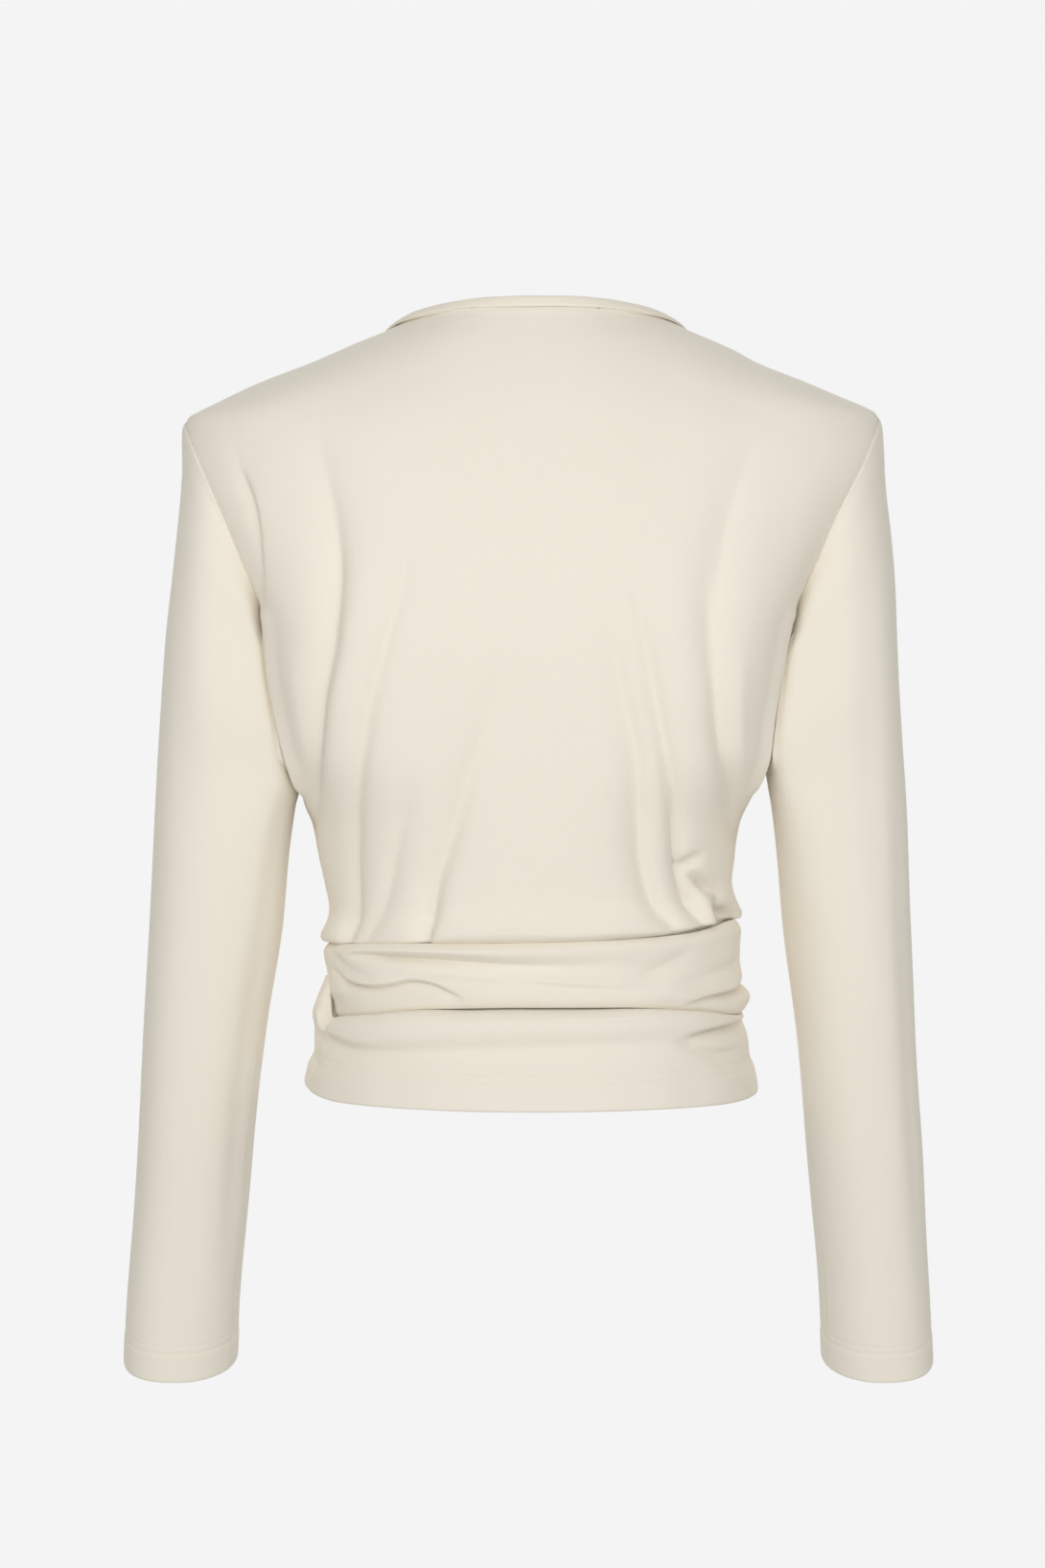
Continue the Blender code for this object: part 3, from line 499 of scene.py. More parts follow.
def cloth(name, outer, inner, material, tube=False):
    """A closed wall between an outer and an inner grid of rows and columns. A tube closes its columns."""
    rows, columns = outer.shape[:2]
    points = np.concatenate([outer.reshape(-1, 3), inner.reshape(-1, 3)])
    under = rows * columns
    spans = columns if tube else columns - 1
    i, j = (part.ravel() for part in np.meshgrid(np.arange(rows - 1), np.arange(spans), indexing="ij"))

    def at(i, j, layer=0):
        return layer * under + i * columns + j % columns

    faces = [
        np.stack([at(i, j), at(i + 1, j), at(i + 1, j + 1), at(i, j + 1)], axis=1),
        np.stack([at(i, j, 1), at(i, j + 1, 1), at(i + 1, j + 1, 1), at(i + 1, j, 1)], axis=1),
    ]
    j, top, low = np.arange(spans), np.zeros(spans, int), np.full(spans, rows - 1)
    faces.append(np.stack([at(top, j), at(top, j + 1), at(top, j + 1, 1), at(top, j, 1)], axis=1))
    faces.append(np.stack([at(low, j + 1), at(low, j), at(low, j, 1), at(low, j + 1, 1)], axis=1))
    if not tube:
        i, left, right = np.arange(rows - 1), np.zeros(rows - 1, int), np.full(rows - 1, columns - 1)
        n = i + 1
        faces.append(np.stack([at(n, left), at(i, left), at(i, left, 1), at(n, left, 1)], axis=1))
        faces.append(np.stack([at(i, right), at(n, right), at(n, right, 1), at(i, right, 1)], axis=1))
    mesh_piece(name, points, np.concatenate(faces), material)


def from_edge(grid, axis=0, last=False):
    """Distance along the cloth from its first or last row (axis 0) or column (axis 1)."""
    step = np.linalg.norm(np.diff(grid, axis=axis), axis=-1)
    run = np.cumsum(step, axis=axis)
    run = np.concatenate([np.zeros_like(run.take([0], axis=axis)), run], axis=axis)
    return run.take([-1], axis=axis) - run if last else run


def grid_normals(grid, middle=None, tube=False):
    """Normals of a grid of points, turned away from the middle of each row."""
    down = np.gradient(grid, axis=0)
    around = np.roll(grid, -1, axis=1) - np.roll(grid, 1, axis=1) if tube else np.gradient(grid, axis=1)
    normal = unit(np.cross(around, down))
    away = grid - (grid.mean(axis=1, keepdims=True) if middle is None else middle)
    return normal * np.where(np.sum(normal * away, axis=(1, 2), keepdims=True) < 0, -1.0, 1.0)


def groove(distance, at, depth=0.45, width=0.9):
    """The dent that a row of stitches pulls into cloth, by distance from an edge."""
    return depth * bell(distance - at, width)


# %% [markdown]
# ## Cream jersey
#
# Viscose jersey is matt, soft and slightly fuzzy. Its knit shows only as a very fine grain. A picture
# of knit could be laid on it, but a procedure stays sharp at any distance: two fine waves cross for the
# loops, a noise breaks them up, and both feed a weak bump. A little sheen on the shader's own socket
# gives the soft edge.

# %% Jersey, binding and thread

CREAM = (0.862, 0.808, 0.706)
SHADE = (0.838, 0.780, 0.670)


def knit(name, light, dark, loop_mm, bump_mm, roughness):
    """A knitted cloth whose loops have this width, with its colour drifting between two tones."""
    material, at, shader = start_material(name)
    place = at.node("ShaderNodeTexCoord", out="Object")
    bands_in_a_metre = 2 * math.pi / 20 * 1000 / loop_mm
    drift = at.node("ShaderNodeTexNoise", {"noise_dimensions": "3D"}, Vector=place, Scale=9.0, Detail=3.0)
    fuzz = at.node("ShaderNodeTexNoise", {"noise_dimensions": "3D"}, Vector=place, Scale=850.0, Detail=2.0)
    wale = at.node(
        "ShaderNodeTexWave", {"wave_type": "BANDS", "bands_direction": "X", "wave_profile": "SIN"},
        Vector=place, Scale=bands_in_a_metre, Distortion=0.6, Detail=1.0,
    )
    course = at.node(
        "ShaderNodeTexWave", {"wave_type": "BANDS", "bands_direction": "Z", "wave_profile": "SIN"},
        Vector=place, Scale=bands_in_a_metre * 1.25, Distortion=0.8, Detail=1.0,
    )
    long_place = at.node("ShaderNodeMapping", Vector=place, Scale=(420.0, 420.0, 9.0))
    streak = at.node(
        "ShaderNodeTexNoise", {"noise_dimensions": "3D"}, Vector=long_place, Scale=1.0, Detail=2.0
    )
    height = wale * 0.4 + course * 0.2 + fuzz * 0.9
    tone = drift * 0.7 + fuzz * 0.2 + streak * 0.3 - 0.05
    colour = at.node(
        "ShaderNodeMix", {"data_type": "RGBA"}, out=2, _0=tone, _6=(*dark, 1.0), _7=(*light, 1.0)
    )
    bump = at.node("ShaderNodeBump", Strength=0.35, Distance=bump_mm * MM, Height=height)
    rough = fuzz * 0.08 + (roughness - 0.04)
    links = material.node_tree.links
    links.new(colour.socket, shader.inputs["Base Color"])
    links.new(rough.socket, shader.inputs["Roughness"])
    links.new(bump.socket, shader.inputs["Normal"])
    shader.inputs["Sheen Weight"].default_value = 0.18
    shader.inputs["Sheen Roughness"].default_value = 0.5
    shader.inputs["Sheen Tint"].default_value = (1.0, 0.97, 0.9, 1.0)
    shader.inputs["Specular IOR Level"].default_value = 0.25
    return material


JERSEY = knit("cream_jersey", CREAM, SHADE, 0.9, 0.16, 0.90)
BINDING = knit("cream_binding", (0.87, 0.81, 0.695), (0.845, 0.78, 0.655), 0.7, 0.14, 0.88)
THREAD = knit("cream_thread", (0.90, 0.86, 0.76), (0.87, 0.82, 0.71), 0.3, 0.08, 0.75)
print("materials", [material.name for material in (JERSEY, BINDING, THREAD)])

# %% [markdown]
# ## Folds as lines
#
# Long soft folds run down the back from the shoulder blades to the waist, where the sash draws the
# cloth in. Cloth simulation makes such folds but not these ones. So each fold is a line down the cloth
# with a depth and two breadths along it: a steep side and a gentle side are what makes a fold look like
# cloth.

# %% The shape of a fold


def trough(aside, left, right, power):
    """A trough across a fold line: 1 at the line, falling off with its own breadth on each side."""
    return np.exp(-(np.abs(aside / np.where(aside < 0, left, right)) ** power))


CORE = 0.42  # the crease's share of a fold's depth
CORE_BREADTHS = (0.544, 0.34)  # shares of the fold's left and right breadth
CORE_SHARPNESS = 1.5


def long_folds(x, z, folds):
    """Depth of folds that run mostly downward. Each has rows of z, x, depth, left and right breadth. Inside
    the soft trough lies a narrower one, the crease."""
    total = np.zeros(x.shape)
    for power, rows in folds.values():
        line, depth, left, right = (curve(rows, k) for k in (1, 2, 3, 4))
        slope = (line(z + 1.0) - line(z - 1.0)) / 2.0
        aside = (x - line(z)) / np.sqrt(1 + slope * slope)
        lowest, highest = min(row[0] for row in rows), max(row[0] for row in rows)
        inside = (z >= lowest) & (z <= highest)
        wide = trough(aside, left(z), right(z), power)
        narrow = trough(aside, CORE_BREADTHS[0] * left(z), CORE_BREADTHS[1] * right(z), CORE_SHARPNESS)
        total += np.where(inside, depth(z), 0.0) * ((1 - CORE) * wide + CORE * narrow)
    return total


def patches(x, z, marks):
    """Depth of short dents and lumps: each mark is x, z, half-length, half-breadth, turn and depth."""
    total = np.zeros(x.shape)
    for mid_x, mid_z, along, across, turn, depth in marks:
        c, s = math.cos(math.radians(turn)), math.sin(math.radians(turn))
        u, v = (x - mid_x) * c + (z - mid_z) * s, (z - mid_z) * c - (x - mid_x) * s
        total += depth * bell(u, along) * bell(v, across)
    return total


# %% [markdown]
# ## The back
#
# The back is one panel from the neck and shoulder seams down to the waist. Its columns start on the
# neck or shoulder seam and spread to the armholes, so rows of stitches can follow the neck exactly.
# Lower down the rows bend round the armhole's foot. Near the sash they crowd together, because the
# cloth swells over its edge within a few millimetres. Subdividing would give that strip its points too,
# but everywhere else as well.
#
# Two more steps correct the grid. The yoke is smoothed level with the shoulders' tips, where the measured
# sections would leave an edge. Under the arms the sections are squared, so the cloth turns in sharply at
# the crease, and there it laps a little over the sleeve.

# %% The panel's grid

NECK_SHARE = {False: 7 / 18, True: 7 / 13}
NECK_CROWDING = {False: 1.15, True: 1.6}
NECK_ROUNDNESS = (0.92, 0.9)  # powers that round the front neckline, sideways and downward
NECK_BACK_POWER = 3.2
YOKE_Z = -112.0
YOKE_BLUR = 16.0
SASH_ROWS = 60  # how many rows crowd toward the sash's edge
CROWD_ABOVE = 2.0  # how far above that edge they are closest
CROWD_REACH = 14.0
CROWD_STEP = 0.3  # their spacing there, against that of the other rows


def bearing_of_share(share, power):
    """The bearing, from 0 to 90, at which a section has this share of its half-width."""
    share = np.clip(share, 0.0, 1.0)
    with np.errstate(divide="ignore"):
        return np.degrees(np.arctan((share**power / np.maximum(1 - share**power, 1e-12)) ** (1 / power)))


def neck_point_at(share, front):
    """A point of the neck seam. Share runs from -1 at the left shoulder to 1 at the right."""
    size = 1 - (1 - abs(share)) ** NECK_CROWDING[front]
    side = math.copysign(1.0, share) if share else 0.0
    if front:
        x_power, z_power = NECK_ROUNDNESS
        drop = NECK_FRONT_DROP * math.cos(math.radians(90 * size)) ** z_power if size < 1 else 0.0
        z = NECK_POINT[1] - drop
        x = side * NECK_POINT[0] * math.sin(math.radians(90 * size)) ** x_power
        return torso_at_x(np.float64(x), np.float64(z), True)
    z = NECK_POINT[1] + NECK_BACK_RISE * (1 - size**NECK_BACK_POWER)
    width = np.interp(z, (NECK_POINT[1], 8.0, 16.0), (NECK_POINT[0], 88.0, 80.0))
    x, y = on_ring(90 * side * size, width, back_depth(z), squareness(z))
    return np.array([x, y, z], float)


def low_edge(front, side, count):
    """The panel's side edge from the yoke round the armhole's foot and down the side seam, evenly spaced."""
    start = math.asin(2 * (YOKE_Z - SHOULDER_TIP[1]) / (UNDERARM[1] - SHOULDER_TIP[1]) - 1)
    angle = np.linspace(start, math.pi / 2, 500)
    power = np.where(angle > 0, ARMHOLE_SQUARENESS, 2.0)
    down = (np.sign(angle) * np.abs(np.sin(angle)) ** (2 / power) + 1) / 2
    depth = ARMHOLE_HALF_DEPTH * np.maximum(np.cos(angle), 0.0) ** (2 / power)
    x = SHOULDER_TIP[0] + (UNDERARM[0] - SHOULDER_TIP[0]) * down
    z = SHOULDER_TIP[1] + (UNDERARM[1] - SHOULDER_TIP[1]) * down
    hole = np.stack([x * side, depth * (1 if front else -1), z], axis=-1)
    z = np.linspace(UNDERARM[1], WAIST_SEAM_Z, 400)[1:]
    seam = np.stack([exact_width(np.full(z.shape, 90.0 * side), z) * side, 0 * z, z], axis=-1)
    line = np.concatenate([hole, seam])
    run = run_along(line)
    return points_at(line, run, np.linspace(0, run[-1], count + 1)[1:])


def edge_bearing(z, side, front):
    """The bearing at which the armhole cuts the torso's section, or 90 where there is no armhole."""
    x, _ = armhole(z)
    facing = 180.0 - side if front else float(side)
    cut = bearing_of_share(x / exact_width(np.full(np.shape(z), facing), z), squareness(z))
    return np.where(in_armhole(z), cut, 90.0)


def side_edge(front, side, z):
    """Where the panel's side edge lies: on the armhole's plane, and below it on the side seam."""
    x, open_half = armhole(z)
    seam_x = exact_width(np.full(np.shape(z), 90.0 * side), z)
    y = np.where(in_armhole(z), open_half, 0.0) * (1 if front else -1)
    return np.stack([np.where(in_armhole(z), x, seam_x) * side, y, z], axis=-1)


def shoulder_z(x, side):
    rows = [row for row in TORSO_WIDTH if SHOULDER_TIP[1] <= row[0] <= NECK_POINT[1]]
    return float(np.interp(x, [row[2 if side > 0 else 1] for row in rows], [row[0] for row in rows]))


def panel_grid(front, turns, steps, low_rows):
    """Points of a body panel. Turns run from -1 to 1 across and steps from 0 to 1 down the yoke. Below it the
    rows are level in the middle and rise at their ends, to follow the armhole's foot."""
    grid = np.zeros((len(steps) + low_rows, len(turns), 3))
    yoke = len(steps)
    facing = 180.0 if front else 0.0
    middle_z = np.linspace(YOKE_Z, WAIST_SEAM_Z, low_rows + 1)[1:]
    edges = {side: low_edge(front, side, low_rows) for side in (-1.0, 1.0)}
    turned = {}
    for side, edge in edges.items():
        z = edge[:, 2]
        wide = exact_width(np.full(z.shape, facing + side), z)
        deep = half_depth(np.full(z.shape, facing), z)
        turned[side] = np.degrees(np.arctan2(np.abs(edge[:, 0]) / wide, np.abs(edge[:, 1]) / deep))
    for j, turn in enumerate(turns):
        side = 1.0 if turn >= 0 else -1.0
        size = abs(turn)
        if size <= NECK_SHARE[front] + 1e-9:
            top = neck_point_at(turn / NECK_SHARE[front], front)
        else:
            along = (size - NECK_SHARE[front]) / (1 - NECK_SHARE[front])
            x = NECK_POINT[0] + (SHOULDER_TIP[0] - NECK_POINT[0]) * along
            top = np.array([side * x, 0.0, shoulder_z(x, side)])
        z = top[2] + (YOKE_Z - top[2]) * steps[1:]
        around = turn * edge_bearing(z, side, front)
        ring = off_body(180 - around if front else around, z)
        grid[0, j] = top
        grid[1:yoke, j] = ring
        if size < 1 - 1e-9:
            x = top[0] + (ring[-1, 0] - top[0]) * steps[1:]
            grid[1:yoke, j] = torso_at_x(x, z, front)
        z = middle_z + (edges[side][:, 2] - middle_z) * size**4
        around = turn * turned[side]
        grid[yoke:, j] = off_body(180 - around if front else around, z)
    for column, side, last in ((0, -1.0, False), (-1, 1.0, True)):
        edge = np.concatenate([side_edge(front, side, grid[1:yoke, column, 2]), edges[side]])
        pull = edge - grid[1:, column]
        near = ease(1 - from_edge(grid, 1, last=last)[1:] / 26.0)
        grid[1:] += near[..., None] * pull[:, None]
    return grid


def crowded(grid):
    """Draws rows together where the cloth meets the sash, so its swell over the sash is smooth."""
    low = grid[-SASH_ROWS:]
    closest = curve(SASH_TOP, 1)(bearing_of(low)) + CROWD_ABOVE
    above = low[..., 2] - closest
    near = np.clip(above / CROWD_REACH, -1.0, 1.0)
    z = closest + above * (CROWD_STEP + (1 - CROWD_STEP) * near**2)
    moved = grid.copy()
    for j in range(grid.shape[1]):
        for k in (0, 1):
            moved[-SASH_ROWS:, j, k] = np.interp(-z[:, j], -low[:, j, 2], low[:, j, k])
    moved[-SASH_ROWS:, :, 2] = z
    return moved


def from_sides(grid):
    """Distance from a panel's side edges. Far from them it is measured along the rows."""
    aside = np.minimum(from_edge(grid, 1), from_edge(grid, 1, last=True))
    rows = np.arange(len(grid))
    fine = np.linspace(0, len(grid) - 1, 8 * len(grid))
    for column in (0, -1):
        edge = points_at(grid[:, column], rows, fine)
        for j in range(grid.shape[1] // 6):
            here = j if column == 0 else -1 - j
            away = np.linalg.norm(grid[:, here, None] - edge[None], axis=-1).min(axis=1)
            aside[:, here] = np.minimum(aside[:, here], away)
    return aside


def squared_up(grid, front):
    """Where a sleeve lies against the body, the cloth runs flat to the crease and turns in sharply there."""
    x, z = grid[..., 0], grid[..., 2]
    side = np.where(x >= 0, 1.0, -1.0)
    hole_x, _ = armhole(z)
    limit = np.where(in_armhole(z), hole_x, exact_width(90.0 * side, z))
    limit = np.where(z < YOKE_Z, limit, 1000.0)
    inward_by = np.clip((limit - np.abs(x)) / CREASE_TURN, 0.0, 1.0)
    level = curve(CREASE_LEVEL, 1)(z) * np.sqrt(1 - (1 - inward_by) ** 2)
    level = np.where(z < CREASE_LEVEL[-1][0], level, 0.0)
    # The eighth power keeps the deeper of the two depths, with a short soft change between them.
    y = (np.abs(grid[..., 1]) ** 8 + level**8) ** 0.125
    # The lap is only where the crease is deep, on the strip that faces the sleeve.
    lap = CREASE_LAP * ease((level - 30.0) / 15.0) * ease((y - level + 7.0) / 4.0)
    lap *= ease(1.3 - (limit - np.abs(x)) / 5.0) * ease((LAP_TOP - z) / LAP_FADE)
    grid = grid.copy()
    grid[..., 0] = (np.minimum(np.abs(x), limit) + lap) * side
    grid[..., 1] = np.where(np.abs(grid[..., 1]) > 0, y, 0.0) * (1 if front else -1)
    return grid


def smoothed_yoke(grid):
    """Rounds the change of slope that the shoulders give the cloth level with their tips."""
    y, z = grid[..., 1], grid[..., 2]
    aside = np.minimum(from_edge(grid, 1), from_edge(grid, 1, last=True))
    blur = YOKE_BLUR * ease(1.9 - np.abs(z - SHOULDER_TIP[1]) / 30.0)
    blur = np.minimum(blur, 0.4 * np.minimum(z[:1] - z, aside)) + 0.01
    weight = np.exp(-(((z[:, None] - z[None, :]) / blur[:, None]) ** 2) / 2)
    weight = weight * np.abs(np.gradient(z, axis=0))[None, :]
    moved = grid.copy()
    moved[..., 1] = (weight * y[None, :]).sum(axis=1) / np.maximum(weight.sum(axis=1), 1e-9)
    moved[0] = grid[0]
    return moved


def under_side(grid, normal, wall):
    """The inner face of a body panel. Edges in an armhole's plane stay in that plane."""
    inner = grid - wall * normal
    for column, side in ((0, -1), (-1, 1)):
        edge = grid[:, column]
        inside = in_armhole(edge[:, 2])
        along = np.array([(SHOULDER_TIP[0] - UNDERARM[0]) * side, 0.0, SHOULDER_TIP[1] - UNDERARM[1]])
        middle_x, middle_z = (SHOULDER_TIP[0] + UNDERARM[0]) / 2, (SHOULDER_TIP[1] + UNDERARM[1]) / 2
        middle = np.array([middle_x * side, 0, middle_z])
        half = np.linalg.norm(along) / 2
        up = (edge - middle) @ unit(along)
        power = np.where(up < 0, ARMHOLE_SQUARENESS, 2.0)
        climb, aside = np.clip(up / half, -1, 1), np.clip(edge[:, 1] / ARMHOLE_HALF_DEPTH, -1, 1)
        outward = (np.sign(climb) * np.abs(climb) ** (power - 1) / half)[:, None] * unit(along)
        outward[:, 1] += np.sign(aside) * np.abs(aside) ** (power - 1) / ARMHOLE_HALF_DEPTH
        inner[inside, column] = (edge - wall * unit(outward))[inside]
    return inner


# %% Folds of the back

BACK_FOLDS = {  # sharpness, then rows of z, x, depth, left breadth, right breadth
    "left_arm": (1.2, (
        (-92, -180, 0, 9, 4), (-103, -176.5, 3.0, 9, 2.4), (-112, -173.4, 4.6, 9, 1.6),
        (-126, -171, 5.6, 9, 1.5), (-143, -169.2, 5.0, 9, 1.4), (-160, -167.8, 3.4, 9, 1.4),
        (-174, -166.8, 1.6, 9, 1.4), (-186, -165.4, 0, 9, 1.4),
    )),
    "left_arm_soft": (2.0, (
        (-58, -190, 0, 8, 12), (-76, -184, 0.8, 8, 12), (-96, -180, 1.4, 8, 9), (-112, -177, 0, 8, 8),
    )),
    "left_blade": (1.7, (
        (-62, -134, 0, 16, 18), (-95, -127.5, 4.0, 19, 17), (-126, -122.5, 7.4, 21, 14),
        (-160, -119.5, 9.6, 20, 9), (-195, -121, 10.0, 17, 6), (-236, -128, 8.4, 13, 5),
        (-272, -131.7, 6.4, 9, 5), (-300, -134, 4.4, 7, 5), (-326, -137, 0, 6, 5),
    )),
    "left_long": (1.6, (
        (-135, -72, 0, 8, 9), (-167, -79.4, 2.4, 8, 9), (-206, -89.7, 4.2, 8, 8),
        (-246, -98.6, 5.4, 8, 7), (-281, -104.1, 5.6, 8, 7), (-317, -108, 5.6, 8, 8),
        (-350, -109.5, 6.0, 7, 8), (-386, -109.5, 6.0, 7, 8), (-412, -109, 5.0, 7, 8),
    )),
    "left_soft": (2.0, (
        (-280, -69, 0, 7, 8), (-303, -76.1, 2.0, 7, 8), (-330, -83, 3.2, 7, 8), (-356, -89, 4.0, 7, 8),
        (-386, -98.9, 3.0, 7, 8), (-412, -103, 1.0, 7, 8),
    )),
    "left_centre": (1.6, (
        (-212, -18, 0, 12, 12), (-246, -25.6, 2.6, 12, 12), (-281, -36.5, 5.0, 12, 11),
        (-325, -49.5, 7.2, 12, 9), (-354, -58.5, 8.4, 11, 6), (-386, -62.1, 8.6, 10, 4.5),
        (-412, -63, 7.0, 10, 5),
    )),
    "right_long": (1.8, (
        (-160, 45, 0, 13, 9), (-184, 48.5, 1.6, 13, 9), (-228, 55.5, 4.2, 13, 8), (-272, 65.5, 6.0, 13, 8),
        (-329, 69.5, 6.6, 12, 6), (-357, 76, 6.2, 11, 5), (-376, 86, 4.0, 9, 5), (-392, 93, 0, 8, 5),
    )),
    "right_sharp": (1.5, (
        (-150, 60, 0, 8, 8), (-180, 65.9, 2.2, 8, 8), (-228, 75.5, 5.0, 8, 8), (-272, 85, 6.6, 8, 7),
        (-308, 90.2, 7.6, 7, 6), (-336, 93, 8.2, 7, 5), (-360, 98.5, 7.4, 7, 5), (-376, 104.5, 3.5, 7, 5),
        (-390, 108, 0, 6, 4),
    )),
    "right_arm": (1.6, (
        (-150, 106, 0, 12, 14), (-184, 110.5, 3.0, 12, 14), (-227, 116.2, 6.0, 11, 11),
        (-263, 121.2, 7.6, 10, 8), (-294, 126.5, 7.0, 10, 6), (-318, 129.6, 3.6, 9, 5),
        (-334, 131, 0, 8, 4),
    )),
    "right_blade": (2.0, (
        (-66, 140, 0, 18, 14), (-100, 128, 3.0, 19, 14), (-140, 118, 5.0, 19, 14), (-185, 114, 3.6, 16, 13),
        (-225, 114, 0, 13, 11),
    )),
    "right_swell": (2.0, (
        (-190, 131, 0, 9, 9), (-222, 133, -1.4, 9, 9), (-253, 133.4, -1.8, 8, 8), (-282, 133, 0, 7, 7),
    )),
    "left_swell": (2.0, (
        (-200, -150, 0, 10, 9), (-228, -146, -1.2, 10, 9), (-255, -142, -1.6, 9, 8), (-285, -137, 0, 8, 7),
    )),
}
BACK_PATCHES = (  # x, z, half-length, half-breadth, turn, depth
    (-14.0, -377.0, 46.0, 6.0, 0.0, -4.0),
    (50.0, -374.0, 20.0, 7.0, 4.0, -2.0),
    (-122.0, -379.0, 8.0, 7.0, 20.0, -3.2),
    (100.0, -336.0, 6.5, 3.0, 35.0, 6.5),
    (110.0, -351.0, 14.0, 3.2, -38.0, 8.0),
    (106.7, -364.0, 3.6, 11.0, 8.0, -2.4),
    (117.0, -368.0, 6.5, 5.5, -20.0, 9.0),
    (116.5, -359.0, 6.5, 4.0, -20.0, -3.6),
)
FRONT_FOLDS = {
    "left_long": (1.8, (
        (-170, -92, 0, 10, 12), (-220, -97, 3.0, 10, 12), (-280, -99, 5.6, 10, 12), (-340, -96, 6.6, 9, 10),
        (-412, -92, 6.0, 9, 9),
    )),
    "left_centre": (1.7, (
        (-225, -52, 0, 11, 12), (-280, -50, 3.4, 10, 12), (-340, -43, 6.0, 8, 11), (-412, -38, 6.0, 7, 9),
    )),
    "right_centre": (1.7, (
        (-235, 42, 0, 12, 10), (-290, 45, 3.4, 12, 10), (-345, 48, 6.0, 10, 8), (-412, 48, 6.0, 9, 7),
    )),
    "right_long": (1.8, (
        (-180, 96, 0, 12, 10), (-230, 102, 3.4, 12, 10), (-290, 103, 5.8, 12, 9), (-350, 100, 6.6, 10, 9),
        (-412, 98, 6.0, 9, 8),
    )),
    "left_chest": (2.0, (
        (-100, -154, 0, 12, 16), (-140, -150, 3.6, 13, 16), (-180, -142, 5.0, 13, 16),
        (-230, -132, 2.8, 12, 14), (-262, -126, 0, 10, 12),
    )),
    "right_chest": (2.0, (
        (-100, 154, 0, 16, 12), (-140, 150, 3.6, 16, 13), (-180, 141, 5.0, 16, 13), (-230, 130, 2.8, 14, 12),
        (-262, 124, 0, 12, 10),
    )),
}
FRONT_PATCHES = (
    (0.0, -377.0, 34.0, 6.0, 0.0, -3.2),
    (-70.0, -377.0, 16.0, 6.0, 6.0, -2.6),
    (74.0, -377.0, 16.0, 6.0, -6.0, -2.6),
)
NECK_STITCH = 6.0  # below the neck seam
print("folds", len(BACK_FOLDS), "behind and", len(FRONT_FOLDS), "in front")

# %% Cut and shape the panels


def body_panel(front, across, down):
    """The back or front panel with its folds, its seams' rounded edges and the dent of its neck stitches."""
    even = np.linspace(-1, 1, across)
    turns = np.sign(even) * (1 - (1 - np.abs(even)) ** 1.5)
    yoke, low = down
    steps = np.linspace(0, 1, yoke + 1) ** 1.4
    grid = squared_up(panel_grid(front, turns, steps, low), front)
    grid = crowded(smoothed_yoke(grid))
    top, aside = from_edge(grid, 0), from_sides(grid)
    by_shoulder = ease((grid[..., 2:] - YOKE_Z + 30.0) / 40.0) * ease(1.0 - top[..., None] / 12.0)
    normal = unit(body_normal(grid) * by_shoulder + grid_normals(grid) * (1.01 - by_shoulder))
    inner = under_side(grid, normal, WALL)
    x, z, bearing = grid[..., 0], grid[..., 2], bearing_of(grid)
    above = z - curve(SASH_TOP, 1)(bearing)
    sink = long_folds(x, z, FRONT_FOLDS if front else BACK_FOLDS) * curve(FOLD_FADE, 1)(above)
    sink += patches(x, z, FRONT_PATCHES if front else BACK_PATCHES)
    sink += 0.55 * ripple(grid, 70.0, 3 if front else 5) * ease((aside - 4) / 30)
    sink *= ease(aside / 14.0)
    lip = curve(SWELL_SHARE, 1)(bearing)
    room = curve(SWELL_ROOM, 1)(above) * lip
    swell = curve(SWELL, 1)(above) * lip * np.exp(-np.maximum(sink, 0.0) / 5.0)
    sink = np.maximum(sink - swell, -room)
    surface_only = groove(top, NECK_STITCH, 0.4, 1.0) * (np.abs(turns) <= NECK_SHARE[front])[None, :]
    surface_only += 0.3 * bell(top, 0.9) + 0.25 * bell(aside, 3.2)
    outer = grid - normal * (sink + surface_only)[..., None]
    inner = inner - normal * sink[..., None]
    half_gap = SEAM_GAP / 2
    facing = 1 if front else -1
    for surface in (outer, inner):
        surface[..., 1] = facing * np.maximum(surface[..., 1] * facing + half_gap, half_gap)
        surface[-1, :, 2] += half_gap
    return outer, inner, normal


back_outer, back_inner, back_normal = body_panel(False, 301, (44, 106))
front_outer, front_inner, front_normal = body_panel(True, 141, (50, 96))
cloth("upper_back", back_outer, back_inner, JERSEY)
cloth("upper_front", front_outer, front_inner, JERSEY)

# %% [markdown]
# ## The sleeves
#
# A set-in sleeve is a tapering tube. Its first ring lies in the armhole's slanting plane and its last
# is nearly level, so the rings tilt back as they go down. One seam runs down the inside of the arm. The
# cuff is a plain turned hem held by a row of stitches, and the turned edge inside shows as a faint line
# above them.

# %% Measurements of the sleeves

SLEEVE_OUTER = (  # z, left, right
    (-56.0, 220.0, 220.0), (-62.0, 221.4, 221.4), (-85.0, 222.0, 222.4), (-130.0, 225.6, 225.8),
    (-190.0, 230.4, 231.0), (-250.0, 234.4, 234.8), (-313.0, 238.2, 238.2), (-375.0, 241.6, 241.4),
    (-435.0, 245.2, 244.6), (-495.0, 249.0, 248.4), (-556.0, 253.6, 252.2), (-617.0, 258.6, 256.4),
    (-654.0, 260.6, 258.4),
)
SLEEVE_INNER = (  # z, left, right
    (-188.0, 165.0, 165.0), (-196.0, 165.6, 165.2), (-215.0, 163.7, 161.4), (-250.0, 157.3, 155.4),
    (-272.0, 152.4, 151.6), (-289.0, 147.0, 152.2), (-302.0, 149.6, 153.8), (-325.0, 152.0, 156.3),
    (-375.0, 156.5, 160.5), (-435.0, 166.5, 168.0), (-495.0, 174.5, 174.2), (-556.0, 180.3, 180.0),
    (-617.0, 186.0, 185.7), (-654.0, 188.3, 187.5),
)
